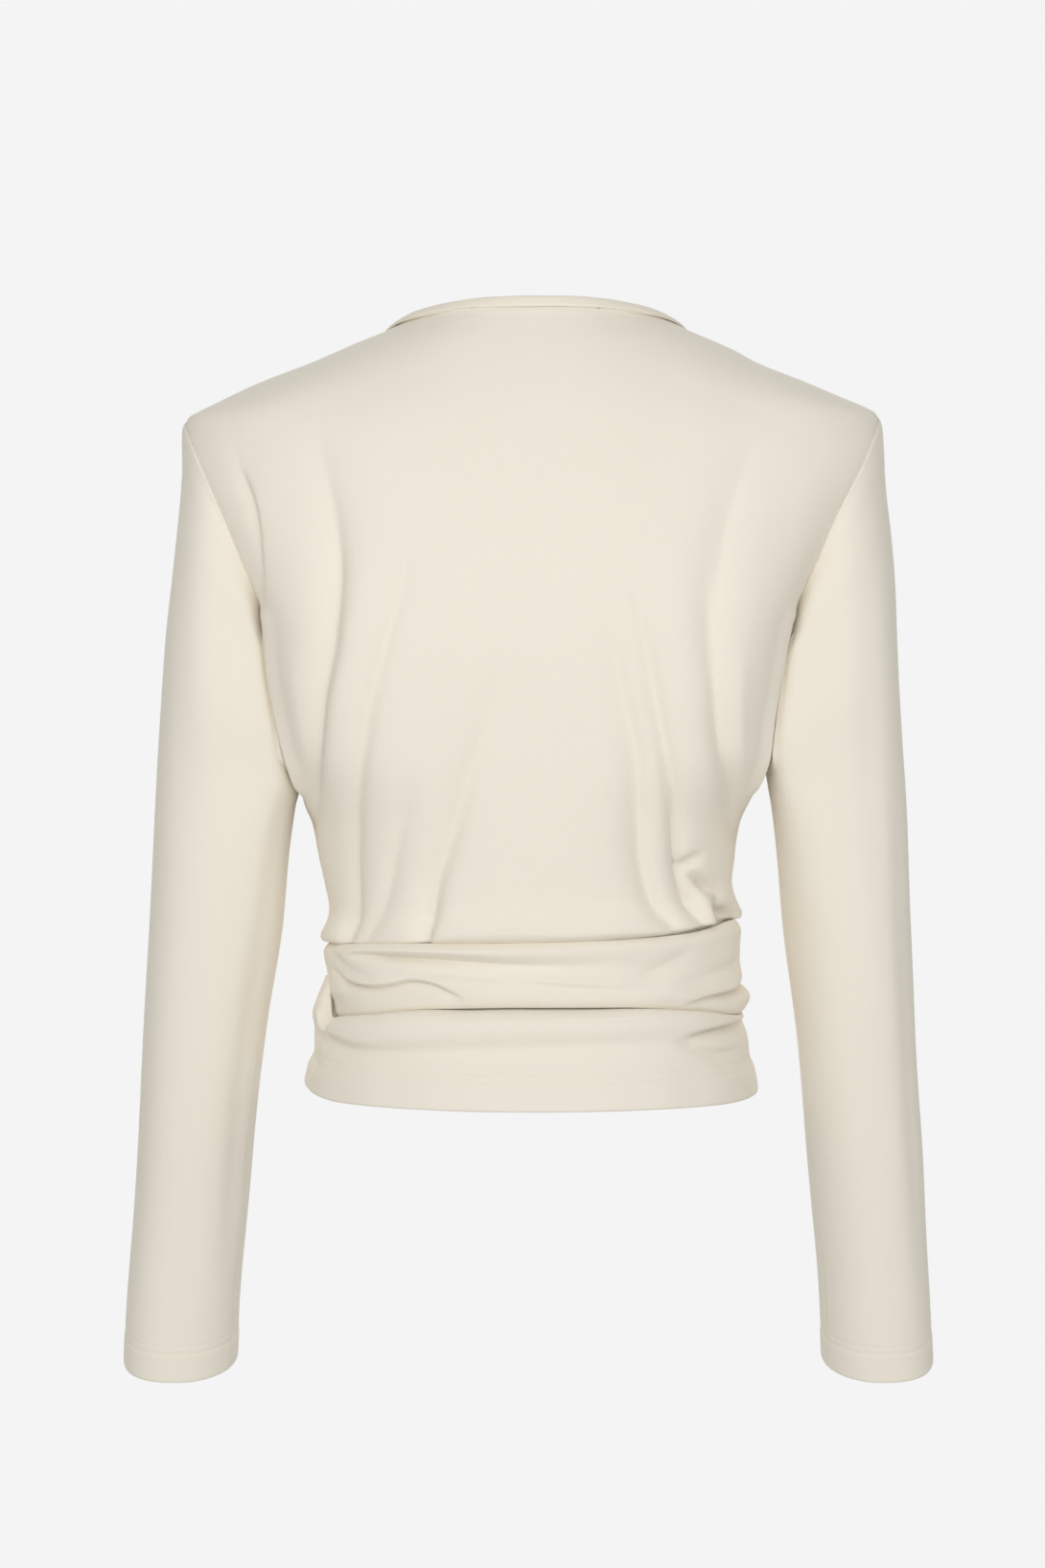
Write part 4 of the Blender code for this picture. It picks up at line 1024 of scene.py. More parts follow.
SLEEVE_DEPTH = (  # z, half depth, forward, drop of the back edge, squareness of the inner half
    (-122.0, 55.0, 0.0, 0.0, 3.6), (-142.0, 57.5, 0.0, 0.0, 6.0), (-165.0, 59.0, 0.0, 0.0, 8.0),
    (-230.0, 58.0, -1.0, 0.0, 8.0), (-285.0, 52.0, 0.0, 0.0, 4.5), (-330.0, 49.0, 1.5, 0.5, 2.6),
    (-400.0, 45.5, 6.0, 2.0, 2.0), (-500.0, 41.0, 17.0, 5.0, 2.0),
    (-600.0, 37.5, 30.0, 9.5, 2.0), (-654.0, 37.5, 37.0, 12.0, 2.0),
)
SLEEVE_SEAM = (182, 24)  # its turn at the armhole, and how far it drifts on the way to the cuff
SLEEVE_LEVEL_Z = -346.0
SLEEVE_TILT_POWER = 1.6
SLEEVE_TURN = 1.6  # how far a squared section takes to turn at its corner
CUFF_STITCH, CUFF_EDGE = 18.0, 23.0  # the row of stitches and the turned edge, above the cuff's end
SLEEVE_FOLDS = {  # side: rows of turn in degrees, where it starts and ends down the sleeve, breadth, depth
    -1: (
        (248, 0.05, 0.62, 16, 1.8), (300, 0.10, 0.50, 18, 1.2), (222, 0.30, 0.95, 12, 1.6),
        (75, 0.1, 0.7, 18, 1.8), (125, 0.25, 0.9, 14, 1.6),
    ),
    1: (
        (292, 0.05, 0.62, 16, 1.8), (240, 0.10, 0.50, 18, 1.2), (318, 0.30, 0.95, 12, 1.4),
        (105, 0.1, 0.7, 18, 1.8), (55, 0.25, 0.9, 14, 1.6),
    ),
}
print("sleeves", SHOULDER_TIP[1] - CUFF_Z, "mm down from the shoulder")

# %% Shape the sleeves


def armhole_way(side):
    """The direction out of an armhole, square to its plane."""
    return unit(np.array([(SHOULDER_TIP[1] - UNDERARM[1]) * side, 0.0, UNDERARM[0] - SHOULDER_TIP[0]]))


def even_quarter(power, half_x, half_y, count):
    """A quarter of a rounded section from its x end to its y end, with more points where it bends."""
    angle = np.linspace(0, math.pi / 2, 1200)
    u, v = np.cos(angle) ** (2 / power), np.maximum(np.sin(angle), 0) ** (2 / power)
    du, dv = np.diff(u) * half_x, np.diff(v) * half_y
    heading = np.unwrap(np.arctan2(dv, du))
    bend = np.concatenate([[0.0], np.abs(np.diff(heading))])
    run = np.concatenate([[0.0], np.cumsum(np.hypot(du, dv) + 16.0 * bend)])
    at = np.interp(np.linspace(0, run[-1], count + 1), run, np.arange(len(run)))
    return np.interp(at, np.arange(len(run)), u), np.interp(at, np.arange(len(run)), v)


def ring_shares(around, power, far_power, half_x, half_y):
    """Outward and forward shares round one ring: outer side first, then front, inner side and back."""
    count = around // 4
    far_u, far_v = even_quarter(far_power, half_x, half_y, count)
    near_u, near_v = even_quarter(power, half_x, half_y, count)
    turned_in = 1 - np.minimum((1 - near_u) * half_x / SLEEVE_TURN, 1.0)
    near_v = np.maximum(near_v, 0.9 * ease((power - 3.0) / 3.5) * np.sqrt(1 - turned_in**2))
    outward = np.concatenate([far_u[:-1], -near_u[::-1][:-1], -near_u[:-1], far_u[::-1][:-1]])
    forward = np.concatenate([far_v[:-1], near_v[::-1][:-1], -near_v[:-1], -far_v[::-1][:-1]])
    return outward, forward


def sleeve_grid(side, around, shares):
    """Rings of a sleeve from the armhole (0) to the cuff (1)."""
    column = 2 if side > 0 else 1
    outer_x, inner_x = curve(SLEEVE_OUTER, column), curve(SLEEVE_INNER, column)
    depth_at, forward_at, drop_at, squareness_at = (curve(SLEEVE_DEPTH, k) for k in (1, 2, 3, 4))
    z_out = SHOULDER_TIP[1] + (CUFF_Z - SHOULDER_TIP[1]) * shares
    rest = np.clip((SLEEVE_LEVEL_Z - z_out) / (SLEEVE_LEVEL_Z - SHOULDER_TIP[1]), 0.0, 1.0)
    z_in = z_out - (SHOULDER_TIP[1] - UNDERARM[1]) * rest**SLEEVE_TILT_POWER
    nought = np.zeros_like(shares)
    out_end = np.stack([outer_x(z_out), nought, z_out], axis=-1)
    in_end = np.stack([inner_x(z_in), nought, z_in], axis=-1)
    middle, reach = (out_end + in_end) / 2, (out_end - in_end) / 2
    depth, power = depth_at(middle[:, 2]), squareness_at(middle[:, 2])
    half = np.linalg.norm(reach, axis=-1)
    far_power = 2.0 + 0.5 * ease(shares / 0.2)
    rings = [ring_shares(around, power[k], far_power[k], half[k], depth[k]) for k in range(len(shares))]
    out_share, front_share = (np.array([ring[k] for ring in rings]) for k in (0, 1))
    grid = middle[:, None] + out_share[..., None] * reach[:, None]
    grid[..., 1] += front_share * depth[:, None] + forward_at(middle[:, 2])[:, None]
    grid[..., 2] += front_share * drop_at(middle[:, 2])[:, None]
    grid[..., 0] *= side
    fade = 1 - ease((z_out - SHOULDER_TIP[1] + 17.0) / -17.0)
    return grid + armhole_way(side) * (SEAM_GAP * fade)[:, None, None]


def sleeve(side, around, down):
    """One sleeve with its soft folds, its seam, its rounded armhole edge and its cuff's dents."""
    steps = np.linspace(0, 1, down + 1)
    shares = np.unique(np.concatenate([0.62 * steps + 0.38 * steps**2, np.linspace(0.955, 1.0, 46)]))
    shares = shares[np.concatenate([[True], np.diff(shares) > 2e-4])]
    grid = sleeve_grid(side, around, shares)
    middle = grid.mean(axis=1, keepdims=True)
    normal = grid_normals(grid, middle, tube=True)
    turn = np.arange(around) * 360 / around
    top, low = from_edge(grid, 0), from_edge(grid, 0, last=True)
    by_body = ease(1.5 - np.abs(turn - 180) / 40.0)[None, :] * ease((grid[..., 2] + 330.0) / 30.0)
    sink = 0.7 * ripple(grid, 85.0, 11 + side) * (1 - by_body)
    for mid, start, end, breadth, depth in SLEEVE_FOLDS[side]:
        strength = ease((shares - start) / 0.15) * ease((end - shares) / 0.18)
        offset = (turn - mid + 180) % 360 - 180
        sink = sink + depth * strength[:, None] * bell(offset, breadth)[None, :]
    sink *= ease((top - 3.0) / 30.0) * ease(low / 40.0)
    seam = SLEEVE_SEAM[0] + SLEEVE_SEAM[1] * ease((shares - 0.1) / 0.9)
    off_seam = turn[None, :] - seam[:, None]
    seam_dent = 0.5 * bell(off_seam, 0.9) - 0.35 * bell(off_seam - 3.0, 1.8)
    surface_only = seam_dent * ease(top / 12.0) - 0.55 * bell(top - 1.0, 1.5)
    surface_only = surface_only - 0.45 * ease((CUFF_STITCH + 1.0 - low) / 1.6) + 0.5 * bell(low, 0.8)
    surface_only = surface_only + groove(low, CUFF_STITCH, 0.55) + groove(low, CUFF_EDGE, 0.25)
    outer = grid - normal * (sink + surface_only)[..., None]
    inner = grid - normal * (sink + WALL)[..., None]
    toward = middle[0] - grid[0]
    inner[0] = grid[0] + WALL * unit(toward)
    outer[0] = grid[0] - 0.45 * unit(toward) - 0.8 * armhole_way(side)
    inner[-1, :, 2] = grid[-1, :, 2]
    return outer, inner, normal


sleeves = {}
for side, name in ((-1, "left_sleeve"), (1, "right_sleeve")):
    sleeves[side] = sleeve(side, 128, 190)
    cloth(name, *sleeves[side][:2], JERSEY, tube=True)

# %% [markdown]
# ## The neckband
#
# A narrow strip is folded over the raw neck edge and stands about 8 mm high. A bevelled curve would
# give a round cord, but the band is flat with a soft fold at its top, so its section is drawn point by
# point.

# %% Bind the neck

BAND_SECTION = (  # share of the height, how far it stands out
    (0.0, -0.05), (0.06, 0.16), (0.18, 0.36), (0.40, 0.48), (0.62, 0.46), (0.80, 0.32), (0.92, 0.05),
    (1.0, -0.40),
)


def neck_loop(count):
    """The neck seam as a closed line: across the back from left to right, then across the front."""
    shares = np.linspace(-1, 1, count + 1)[:-1]
    back = np.array([neck_point_at(share, False) for share in shares])
    front = np.array([neck_point_at(-share, True) for share in shares])
    return np.concatenate([back, front])


def even_loop(loop, count):
    """The same closed line with evenly spaced points."""
    closed = np.concatenate([loop, loop[:1]])
    run = run_along(closed)
    return points_at(closed, run, np.linspace(0, run[-1], count + 1)[:-1]), run[-1]


BAND_POINTS = 400
loop, neck_length = even_loop(neck_loop(300), BAND_POINTS)
tangent = unit(np.roll(loop, -2, axis=0) - np.roll(loop, 2, axis=0))
lifted = loop.copy()
lifted[:, 1] += np.where(np.abs(lifted[:, 1]) < 0.5, 0.5, 0.0)
band_normal = body_normal(lifted)
for _ in range(6):
    band_normal = unit(band_normal + np.roll(band_normal, 1, axis=0) + np.roll(band_normal, -1, axis=0))
rise = np.cross(tangent, band_normal)
rise = unit(rise * np.sign(np.sum(rise * (np.array([0.0, 0.0, 40.0]) - loop), axis=1, keepdims=True)))
turn = np.arange(BAND_POINTS) * 2 * math.pi / BAND_POINTS
waver = 0.25 * np.sin(turn * 9) + 0.15 * np.sin(turn * 23)
fine = np.linspace(0, 1, 15)
out = curve(BAND_SECTION, 1)(fine)
height = (SEAM_GAP + NECKBAND_HEIGHT * fine)[:, None] + (fine**2)[:, None] * waver[None, :] * 0.6
band_outer = loop[None] + rise[None] * height[..., None] + band_normal[None] * out[:, None, None]
under = BAND_WALL - 0.7 - 0.45 * bell(1 - fine, 0.12)
band_inner = loop[None] + rise[None] * height[..., None] - band_normal[None] * under[:, None, None]
cloth("neck_binding", band_outer, band_inner, BINDING, tube=True)
print("neck seam", round(float(neck_length)), "mm round")

# %% [markdown]
# ## The sash
#
# A wide strip of the same jersey is drawn round the waist. It lies in two or three soft rolls, with
# thin creases where it doubles on itself. The rolls are a section that changes with the bearing; the
# creases are thin troughs laid over it, steep on one side.

# %% Measurements of the sash

SASH_CREASES = {  # sharpness, then rows of bearing, z, depth, breadth above, breadth below
    "under_top_roll": (1.4, (
        (-60, -394, 0, 2.0, 4), (-50, -392.8, 5.0, 1.5, 3.8), (-40, -393.8, 7.6, 1.5, 3.8),
        (-29, -395, 7.8, 1.7, 4.2), (-16, -396.4, 6.0, 2.2, 5), (-4, -398.0, 4.0, 3.2, 6.5),
        (10, -398.5, 2.0, 4.5, 8), (24, -396, 0, 5, 8),
    )),
    "under_top_roll_thin": (1.2, (
        (-50, -390.5, 0, 1.2, 2.5), (-40, -391.2, 1.4, 1.2, 2.5), (-28, -392.2, 1.8, 1.2, 2.5),
        (-18, -393.4, 1.2, 1.2, 2.5), (-8, -394.6, 0, 1.2, 2.5),
    )),
    "thin": (1.2, (
        (-44, -403.6, 0, 2.2, 5), (-28, -403.8, 0.8, 2.2, 5), (-10, -406.5, 1.8, 2.4, 6),
        (2, -409.9, 2.4, 2.6, 7), (14, -412.4, 2.6, 2.6, 7), (25, -413.2, 2.0, 2.8, 7),
        (38, -412.4, 0, 2.8, 6),
    )),
    "diagonal": (2.0, (
        (24, -412, 0, 5, 7), (30, -408, 1.2, 5, 8), (37, -401.5, 2.0, 5, 9), (43, -396, 1.6, 5, 8),
        (50, -391, 0, 5, 7),
    )),
    "right_rise": (1.8, (
        (38, -411, 0, 5, 8), (47, -409.5, 1.4, 5, 8), (58, -405.5, 2.0, 4, 8), (72, -400, 1.8, 4, 7),
        (86, -395, 0, 4, 6),
    )),
    "left_lip": (1.15, (
        (-72, -402, 0, 1.0, 5), (-66, -405.4, 3.0, 1.0, 6), (-60, -410.0, 5.4, 1.0, 7),
        (-53, -412.4, 6.4, 1.0, 7), (-46, -413.1, 6.6, 1.0, 8), (-40, -411.5, 6.4, 1.0, 8),
        (-33, -408.8, 6.0, 1.0, 8), (-27, -410.4, 4.8, 1.0, 7), (-22, -415.0, 3.0, 1.0, 6),
        (-18, -419, 0, 1.0, 5),
    )),
    "left_facet": (1.6, (
        (-76, -390, 0, 4, 6), (-68, -394, 1.4, 4, 7), (-60, -400, 1.8, 4, 7), (-52, -405, 1.0, 4, 6),
        (-44, -408, 0, 4, 5),
    )),
    "right_lip": (1.15, (
        (44, -424, 0, 1.2, 3), (50, -421.5, 3.6, 1.2, 4), (56, -419.4, 6.4, 1.2, 5),
        (66, -417.8, 8.6, 1.2, 6), (78, -414.6, 8.6, 1.2, 7), (90, -411.5, 7.0, 1.4, 7),
        (108, -409, 4.0, 1.5, 7), (128, -408, 0, 1.5, 6),
    )),
    "front_thin": (1.2, (
        (110, -398, 0, 1.5, 5), (130, -402, 1.8, 1.5, 5), (155, -408, 2.4, 1.5, 5), (178, -411, 1.6, 1.5, 5),
        (179.9, -411.2, 1.6, 1.5, 5),
    )),
    "front_thin_left": (1.2, (
        (-179.9, -411.2, 1.6, 1.5, 5), (-160, -409, 2.4, 1.5, 5), (-140, -404, 1.8, 1.5, 5),
        (-118, -402, 0, 1.5, 5),
    )),
}
print("creases of the sash", len(SASH_CREASES))


def cross_creases(bearing, z, creases):
    """Depth of creases that run round the waist, over arrays of bearings and heights."""
    total = np.zeros(z.shape)
    for power, rows in creases.values():
        first, last = rows[0][0], rows[-1][0]
        line, depth, above, below = (curve(rows, k) for k in (1, 2, 3, 4))
        aside = line(bearing) - z
        inside = (bearing >= first) & (bearing <= last)
        shape = trough(aside, above(bearing), below(bearing), power)
        total += np.where(inside, depth(bearing), 0.0) * shape
    return total

# %% Wind the sash

bearings = -180 + 360 * np.arange(440) / 440
shares = np.linspace(0, 1, 84)
edges = [curve(SASH, k)(bearings) for k in (1, 2)]
parts = np.stack([curve(SASH, k)(bearings) for k in range(3, 9)], axis=0)
sash_out = np.stack(
    [curve(list(zip(SASH_SHARES, parts[:, j])), 1)(shares) for j in range(len(bearings))], axis=1
)
sash_z = edges[0][None, :] + (edges[1] - edges[0])[None, :] * shares[:, None]
around = np.broadcast_to(bearings[None, :], sash_z.shape)
sash_plain = off_body(around, sash_z, sash_out)
sash_out = sash_out - cross_creases(around, sash_z, SASH_CREASES) - 0.35 * ripple(sash_plain, 34.0, 21)
round_edge = np.minimum(shares, 1 - shares)[:, None] * (edges[0] - edges[1])[None, :]
tucked = 0.9 * bell(round_edge, 1.4)
sash_out = np.maximum(sash_out - tucked, SASH_EASE + 1.2)
sash_outer = off_body(around, sash_z, sash_out)
sash_inner = off_body(around, sash_z, np.maximum(sash_out - SASH_WALL, SASH_EASE))
cloth("waist_sash", sash_outer, sash_inner, JERSEY, tube=True)

# %% [markdown]
# ## The lower piece
#
# A short skirt of jersey hangs from the waist seam under the sash, in two parts with side seams. At the
# left its top edge folds up over the sash in a lobe. The rows are tied to the sash's lower edge, so the
# piece comes out from under it all round, except where the lobe begins at the front and its edge dips
# below the sash.

# %% Measurements of the lower piece

LOWER = (  # below the sash, share of the way to the hem, how far out if tucked and if lapped
    (None, None, 0.0, 7.6), (None, None, 0.2, 12.4), (-1.0, None, 0.5, 16.3), (4.0, None, 11.0, 16.3),
    (10.0, None, 16.0, 15.0), (None, 0.4, 16.8, 15.2), (None, 0.7, 20.0, 19.0), (None, 1.0, 22.0, 21.4),
)
LOOSE_ROW = 3  # the row of that table that drops where the piece hangs loose under the sash
LOBE = (  # bearing, height of the top edge, 1 where the piece lies over the sash
    (-180.0, -410.3, 0.0), (-135.0, -412.0, 0.0), (-127.0, -436.0, 0.0), (-121.0, -436.5, 1.0),
    (-108.0, -418.0, 1.0), (-94.0, -409.5, 1.0), (-84.0, -408.0, 1.0), (-78.0, -411.0, 1.0),
    (-75.0, -422.0, 1.0), (-72.5, -433.2, 1.0), (-70.8, -434.2, 0.35), (-69.0, -433.4, 0.0),
    (-52.0, -412.0, 0.0), (0.0, -410.3, 0.0), (180.0, -410.3, 0.0),
)
HEM = (  # bearing, z
    (-180.0, -474.0), (-135.0, -472.0), (-90.0, -474.5), (-52.0, -484.2), (0.0, -487.0),
    (52.0, -485.4), (90.0, -480.0), (135.0, -476.0), (180.0, -474.0),
)
LOOSENESS = (  # bearing, 0 where the piece comes out close under the sash and 1 where a gap shows
    (-180.0, 0.5), (-90.0, 0.4), (-64.0, 0.25), (-44.0, 0.22), (-30.0, 0.4), (-17.0, 0.9), (-5.0, 1.0),
    (12.0, 1.0), (24.0, 0.75), (35.0, 0.3), (50.0, 0.15), (90.0, 0.15), (130.0, 0.4), (180.0, 0.5),
)
LOWER_SEAM_BEARINGS = (-142.0, 84.0)
SEAM_RADIUS = 75  # of the waist, at the side seams
HEM_STITCHES = (17.5, 23.0)  # above the hem
LOWER_CREASES = {  # sharpness, then rows of bearing, z, depth, breadth above, breadth below
    "under_roll": (1.3, (
        (-2, -429.5, 0, 1.5, 3), (5, -431, 0.8, 1.5, 3), (22, -433.2, 1.2, 1.5, 3), (40, -431, 1.2, 1.5, 3),
        (58, -430.3, 1.0, 1.5, 3), (76, -429, 0, 1.5, 3),
    )),
    "soft": (1.8, (
        (-84, -440, 0, 4, 5), (-72, -443, 4.0, 2.4, 6), (-60, -447.4, 5.2, 2.6, 7), (-49, -451.2, 4.4, 3, 7),
        (-38, -452, 4.0, 5, 9), (-13, -450.1, 4.4, 7, 12), (17, -447.7, 4.0, 7, 12), (36, -445.5, 2.8, 7, 10),
        (52, -443.5, 0, 5, 8),
    )),
    "right_upper": (1.2, (
        (42, -443.5, 0, 1.2, 4), (46, -442.4, 4.4, 1.2, 4), (52, -440.4, 7.6, 1.2, 5),
        (60, -438.8, 8.4, 1.2, 5), (72, -437.2, 7.6, 1.2, 5), (90, -436.0, 5.0, 1.6, 6),
        (104, -436, 0, 1.6, 6),
    )),
    "right_lower": (1.3, (
        (38, -445, 0, 1.6, 3.5), (43, -447.4, 2.8, 1.6, 4), (49, -451.2, 3.4, 1.6, 4),
        (55, -453.6, 3.2, 1.6, 4), (62, -453.5, 2.0, 1.6, 4), (72, -452, 0, 2, 3),
    )),
    "front_soft": (1.8, (
        (100, -446, 0, 5, 7), (130, -445, 2.6, 5, 7), (180, -444, 3.0, 5, 7), (220, -446, 0, 5, 7),
    )),
}
print("creases of the lower piece", len(LOWER_CREASES))

# %% Hang the lower piece


def lower_part(name, first, last, across, down, seed):
    """One half of the lower piece between two side seams, from its tucked or lapped top edge to the hem."""
    seam = math.degrees(SEAM_GAP / 2 / SEAM_RADIUS)
    run = np.linspace(first + seam, last - seam, across)
    bearing = (run + 180) % 360 - 180
    edge_z, lapped = curve(LOBE, 1)(bearing), curve(LOBE, 2)(bearing)
    sash_low, hem = curve(SASH, 2)(bearing), curve(HEM, 1)(bearing)
    below = np.minimum(sash_low, edge_z - 4.0)
    loose = curve(LOOSENESS, 1)(bearing)
    rows_z, rows_out = [edge_z], []
    # The top edge comes first, then a row under it, then rows below the sash, then rows down to the hem.
    for row, (drop, share, tucked, over) in enumerate(LOWER):
        if drop is not None:
            rows_z.append(below - drop * (loose if row == LOOSE_ROW else 1.0))
        elif share is not None:
            rows_z.append(rows_z[LOOSE_ROW + 1] + (hem - rows_z[LOOSE_ROW + 1]) * share)
        elif row == 1:
            rows_z.append((edge_z + below + 1.0) / 2)
        rows_out.append(tucked + (over - tucked) * lapped)
    rows_z, rows_out = np.array(rows_z), np.array(rows_out)
    steps, index = np.linspace(0, len(LOWER) - 1, down), np.arange(float(len(LOWER)))
    z = np.stack([curve(list(zip(index, rows_z[:, j])), 1)(steps) for j in range(across)], axis=1)
    out = np.stack([curve(list(zip(index, rows_out[:, j])), 1)(steps) for j in range(across)], axis=1)
    around = np.broadcast_to(bearing[None, :], z.shape)
    width, depth = half_width(around, WAIST_SEAM_Z), half_depth(around, WAIST_SEAM_Z)
    power = squareness(WAIST_SEAM_Z)

    def at(out):
        return np.stack([*on_ring(around, width + out, depth + out, power), z], axis=-1)

    plain = at(out)
    shown = ease((steps - 3.0) / 1.0)[:, None]
    turned = np.where(run > 180, run, bearing) if name == "lower_front_cloth" else bearing
    sink = cross_creases(np.broadcast_to(turned[None, :], z.shape), z, LOWER_CREASES)
    sink += 0.4 * ripple(plain, 40.0, seed) * ease((steps - 4.0) / 2.0)[:, None]
    low = from_edge(plain, 0, last=True)
    sink = sink * shown * ease(low / 6.0 + 0.25)
    surface_only = -0.4 * ease((HEM_STITCHES[0] + 1.0 - low) / 1.6) + 0.5 * bell(low, 0.8)
    for stitch, dent in zip(HEM_STITCHES, (0.5, 0.45)):
        surface_only = surface_only + groove(low, stitch, dent)
    aside = np.minimum(from_edge(plain, 1), from_edge(plain, 1, last=True))
    surface_only = (surface_only + 0.5 * bell(aside, 1.2)) * shown
    return at(out - sink - surface_only), at(out - sink - WALL)


left_seam, right_seam = LOWER_SEAM_BEARINGS
lower_back = lower_part("lower_back_cloth", left_seam, right_seam, 241, 92, 31)
lower_front = lower_part("lower_front_cloth", right_seam, left_seam + 360, 131, 76, 33)
cloth("lower_back_cloth", *lower_back, JERSEY)
cloth("lower_front_cloth", *lower_front, JERSEY)

# %% [markdown]
# ## Stitches
#
# A machine stitch is a short thread that dips into the cloth at both ends. Stitches that belong together
# are one mesh of small capsules, laid along lines at a fixed distance from an edge of the cloth.

# %% Sew the rows


def line_at(grid, distance, last=False):
    """The line on a grid at a distance along the cloth from its first or last row."""
    run = from_edge(grid, 0, last=last)
    line = np.zeros((grid.shape[1], 3))
    for j in range(grid.shape[1]):
        order = np.argsort(run[:, j])
        line[j] = [np.interp(distance, run[order, j], grid[order, j, k]) for k in range(3)]
    return line


STITCH_LENGTH = 2.6
STITCH_GAP = 0.9
THREAD_RADIUS = 0.24
STITCH_PROFILE = (  # share of the length, share of the radius, height above the cloth
    (0.0, 0.25, -0.28), (0.12, 0.8, -0.06), (0.35, 1.0, 0.10), (0.65, 1.0, 0.10), (0.88, 0.8, -0.06),
    (1.0, 0.25, -0.28),
)


def stitch_row(line, normal, closed=False):
    """Points and faces of a row of stitches along a line on the cloth, with the cloth's normals."""
    if closed:
        line, normal = np.concatenate([line, line[:1]]), np.concatenate([normal, normal[:1]])
    run = run_along(line)
    count = int(run[-1] // (STITCH_LENGTH + STITCH_GAP))
    pitch = run[-1] / count
    ring = np.radians(np.arange(6) * 60)
    points, faces = [], []
    for k in range(count):
        base = len(points)
        for share, size, up in STITCH_PROFILE:
            at = k * pitch + share * STITCH_LENGTH
            centre, ahead = points_at(line, run, at), points_at(line, run, at + 0.4)
            away = unit(points_at(normal, run, at))
            across = unit(np.cross(unit(ahead - centre + 1e-9), away))
            for angle in ring:
                spoke = across * math.cos(angle) + away * math.sin(angle)
                points.append(centre + away * up + THREAD_RADIUS * size * spoke)
        for level in range(len(STITCH_PROFILE) - 1):
            for m in range(6):
                a, b = base + level * 6 + m, base + level * 6 + (m + 1) % 6
                faces.append((a, b, b + 6, a + 6))
        end = base + (len(STITCH_PROFILE) - 1) * 6
        for corners in ((0, 5, 4, 3), (0, 3, 2, 1)):
            faces.append(tuple(base + corner for corner in corners))
        for corners in ((0, 1, 2, 3), (0, 3, 4, 5)):
            faces.append(tuple(end + corner for corner in corners))
    return np.array(points), np.array(faces)


def sew(name, rows):
    """One piece from several rows of stitches."""
    points, faces, base = [], [], 0
    for row_points, row_faces in rows:
        points.append(row_points)
        faces.append(row_faces + base)
        base += len(row_points)
    mesh_piece(name, np.concatenate(points), np.concatenate(faces), THREAD)


NORMAL_ROW = 20  # the row of normals, counted from the edge, that stitches stand on


def neck_row(outer, normal, front):
    """The stitches along one panel's share of the neck."""
    across = np.linspace(-1, 1, outer.shape[1])
    keep = np.abs(across) <= NECK_SHARE[front]
    return stitch_row(line_at(outer, NECK_STITCH)[keep], normal[NORMAL_ROW][keep])


sew("neck_stitches", [neck_row(back_outer, back_normal, False), neck_row(front_outer, front_normal, True)])
for side, name in ((-1, "left_cuff_stitches"), (1, "right_cuff_stitches")):
    outer, _, normal = sleeves[side]
    sew(name, [stitch_row(line_at(outer, CUFF_STITCH, last=True), normal[-NORMAL_ROW], closed=True)])
hem_rows = []
for outer, _ in (lower_back, lower_front):
    normal = unit(outer[-NORMAL_ROW] * np.array([1.0, 1.0, 0.0]))
    hem_rows += [stitch_row(line_at(outer, up, last=True), normal) for up in HEM_STITCHES]
sew("hem_stitches", hem_rows)
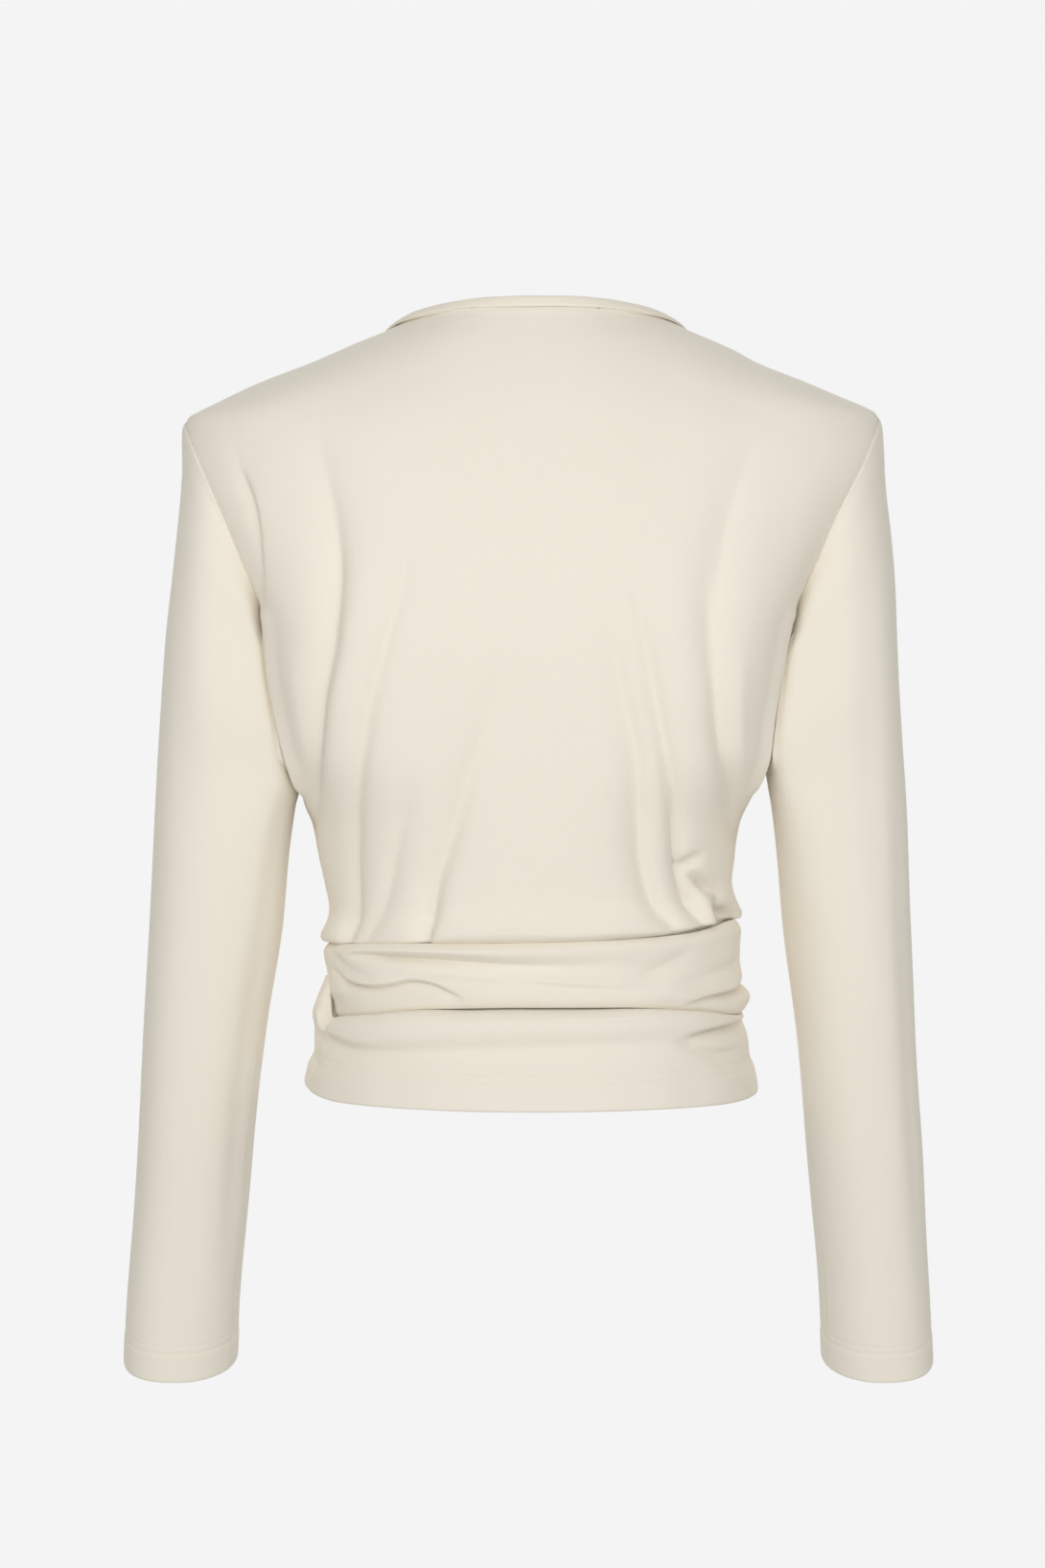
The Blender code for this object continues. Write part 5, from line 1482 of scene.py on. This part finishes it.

# %% [markdown]
# ## The floor
#
# The blouse hangs in the air as on an unseen figure. A plain pale disc lies well below it. It isn't
# part of the garment.

# %% Lay the floor

bpy.ops.mesh.primitive_circle_add(vertices=96, radius=2.6, fill_type="NGON", location=(0, 0, -1.4))
floor = bpy.context.object
floor.name = "floor"
pale, at, shader = start_material("pale_floor")
place = at.node("ShaderNodeTexCoord", out="Object")
speck = at.node("ShaderNodeTexNoise", Vector=place, Scale=6.0, Detail=4.0)
pale.node_tree.links.new((speck * 0.1 + 0.75).socket, shader.inputs["Roughness"])
tint = at.node(
    "ShaderNodeMix", {"data_type": "RGBA"}, out=2,
    _0=speck, _6=(0.80, 0.80, 0.79, 1), _7=(0.84, 0.84, 0.83, 1),
)
pale.node_tree.links.new(tint.socket, shader.inputs["Base Color"])
floor.data.materials.append(pale)
print("floor at", round(floor.location.z, 2), "m")

# %% [markdown]
# ## Attach each piece to the body
#
# Every piece rides on the one body and replaces its CAD solid, which is hidden. The table also lists
# each piece's slot, the size of the rectangle it is cut from and the area of its true outline, which
# the loop does not read.

JOBS = (  # piece, node, slot, flat size, area, held, rests on, pieces on it
    ("upper_back", "back", "jersey", (0.46, 0.43), 0.175, "hung", ["neck_binding"], ["neck_stitches"]),
    ("upper_front", "front", "jersey", (0.46, 0.43), 0.157, "hung", ["neck_binding"], []),
    (
        "left_sleeve", "sleeve_left", "jersey", (0.36, 0.62), 0.138, "hung",
        ["upper_back"], ["left_cuff_stitches"],
    ),
    (
        "right_sleeve", "sleeve_right", "jersey", (0.36, 0.62), 0.138, "hung",
        ["upper_back"], ["right_cuff_stitches"],
    ),
    ("neck_binding", "neckband", "binding", (0.6, 0.010), 0.0054, "stretched", ["upper_back"], []),
    ("waist_sash", "sash", "jersey", (0.74, 0.06), None, "gathered", ["upper_back"], []),
    (
        "lower_back_cloth", "lower_back", "jersey", (0.48, 0.09), None, "hung",
        ["upper_back"], ["hem_stitches"],
    ),
    ("lower_front_cloth", "lower_front", "jersey", (0.30, 0.08), None, "hung", ["upper_front"], []),
)
for name, node, slot, flat, area, held, rests, on_it in JOBS:
    piece = PIECES[name]
    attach(piece, "root")
    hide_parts(node)
for name in ("neck_stitches", "left_cuff_stitches", "right_cuff_stitches", "hem_stitches"):
    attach(PIECES[name], "root")
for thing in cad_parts.values():
    thing.data.materials.clear()
    thing.data.materials.append(BINDING if thing.name == "neckband" else JERSEY)
print("declared", len(PIECES), "pieces")
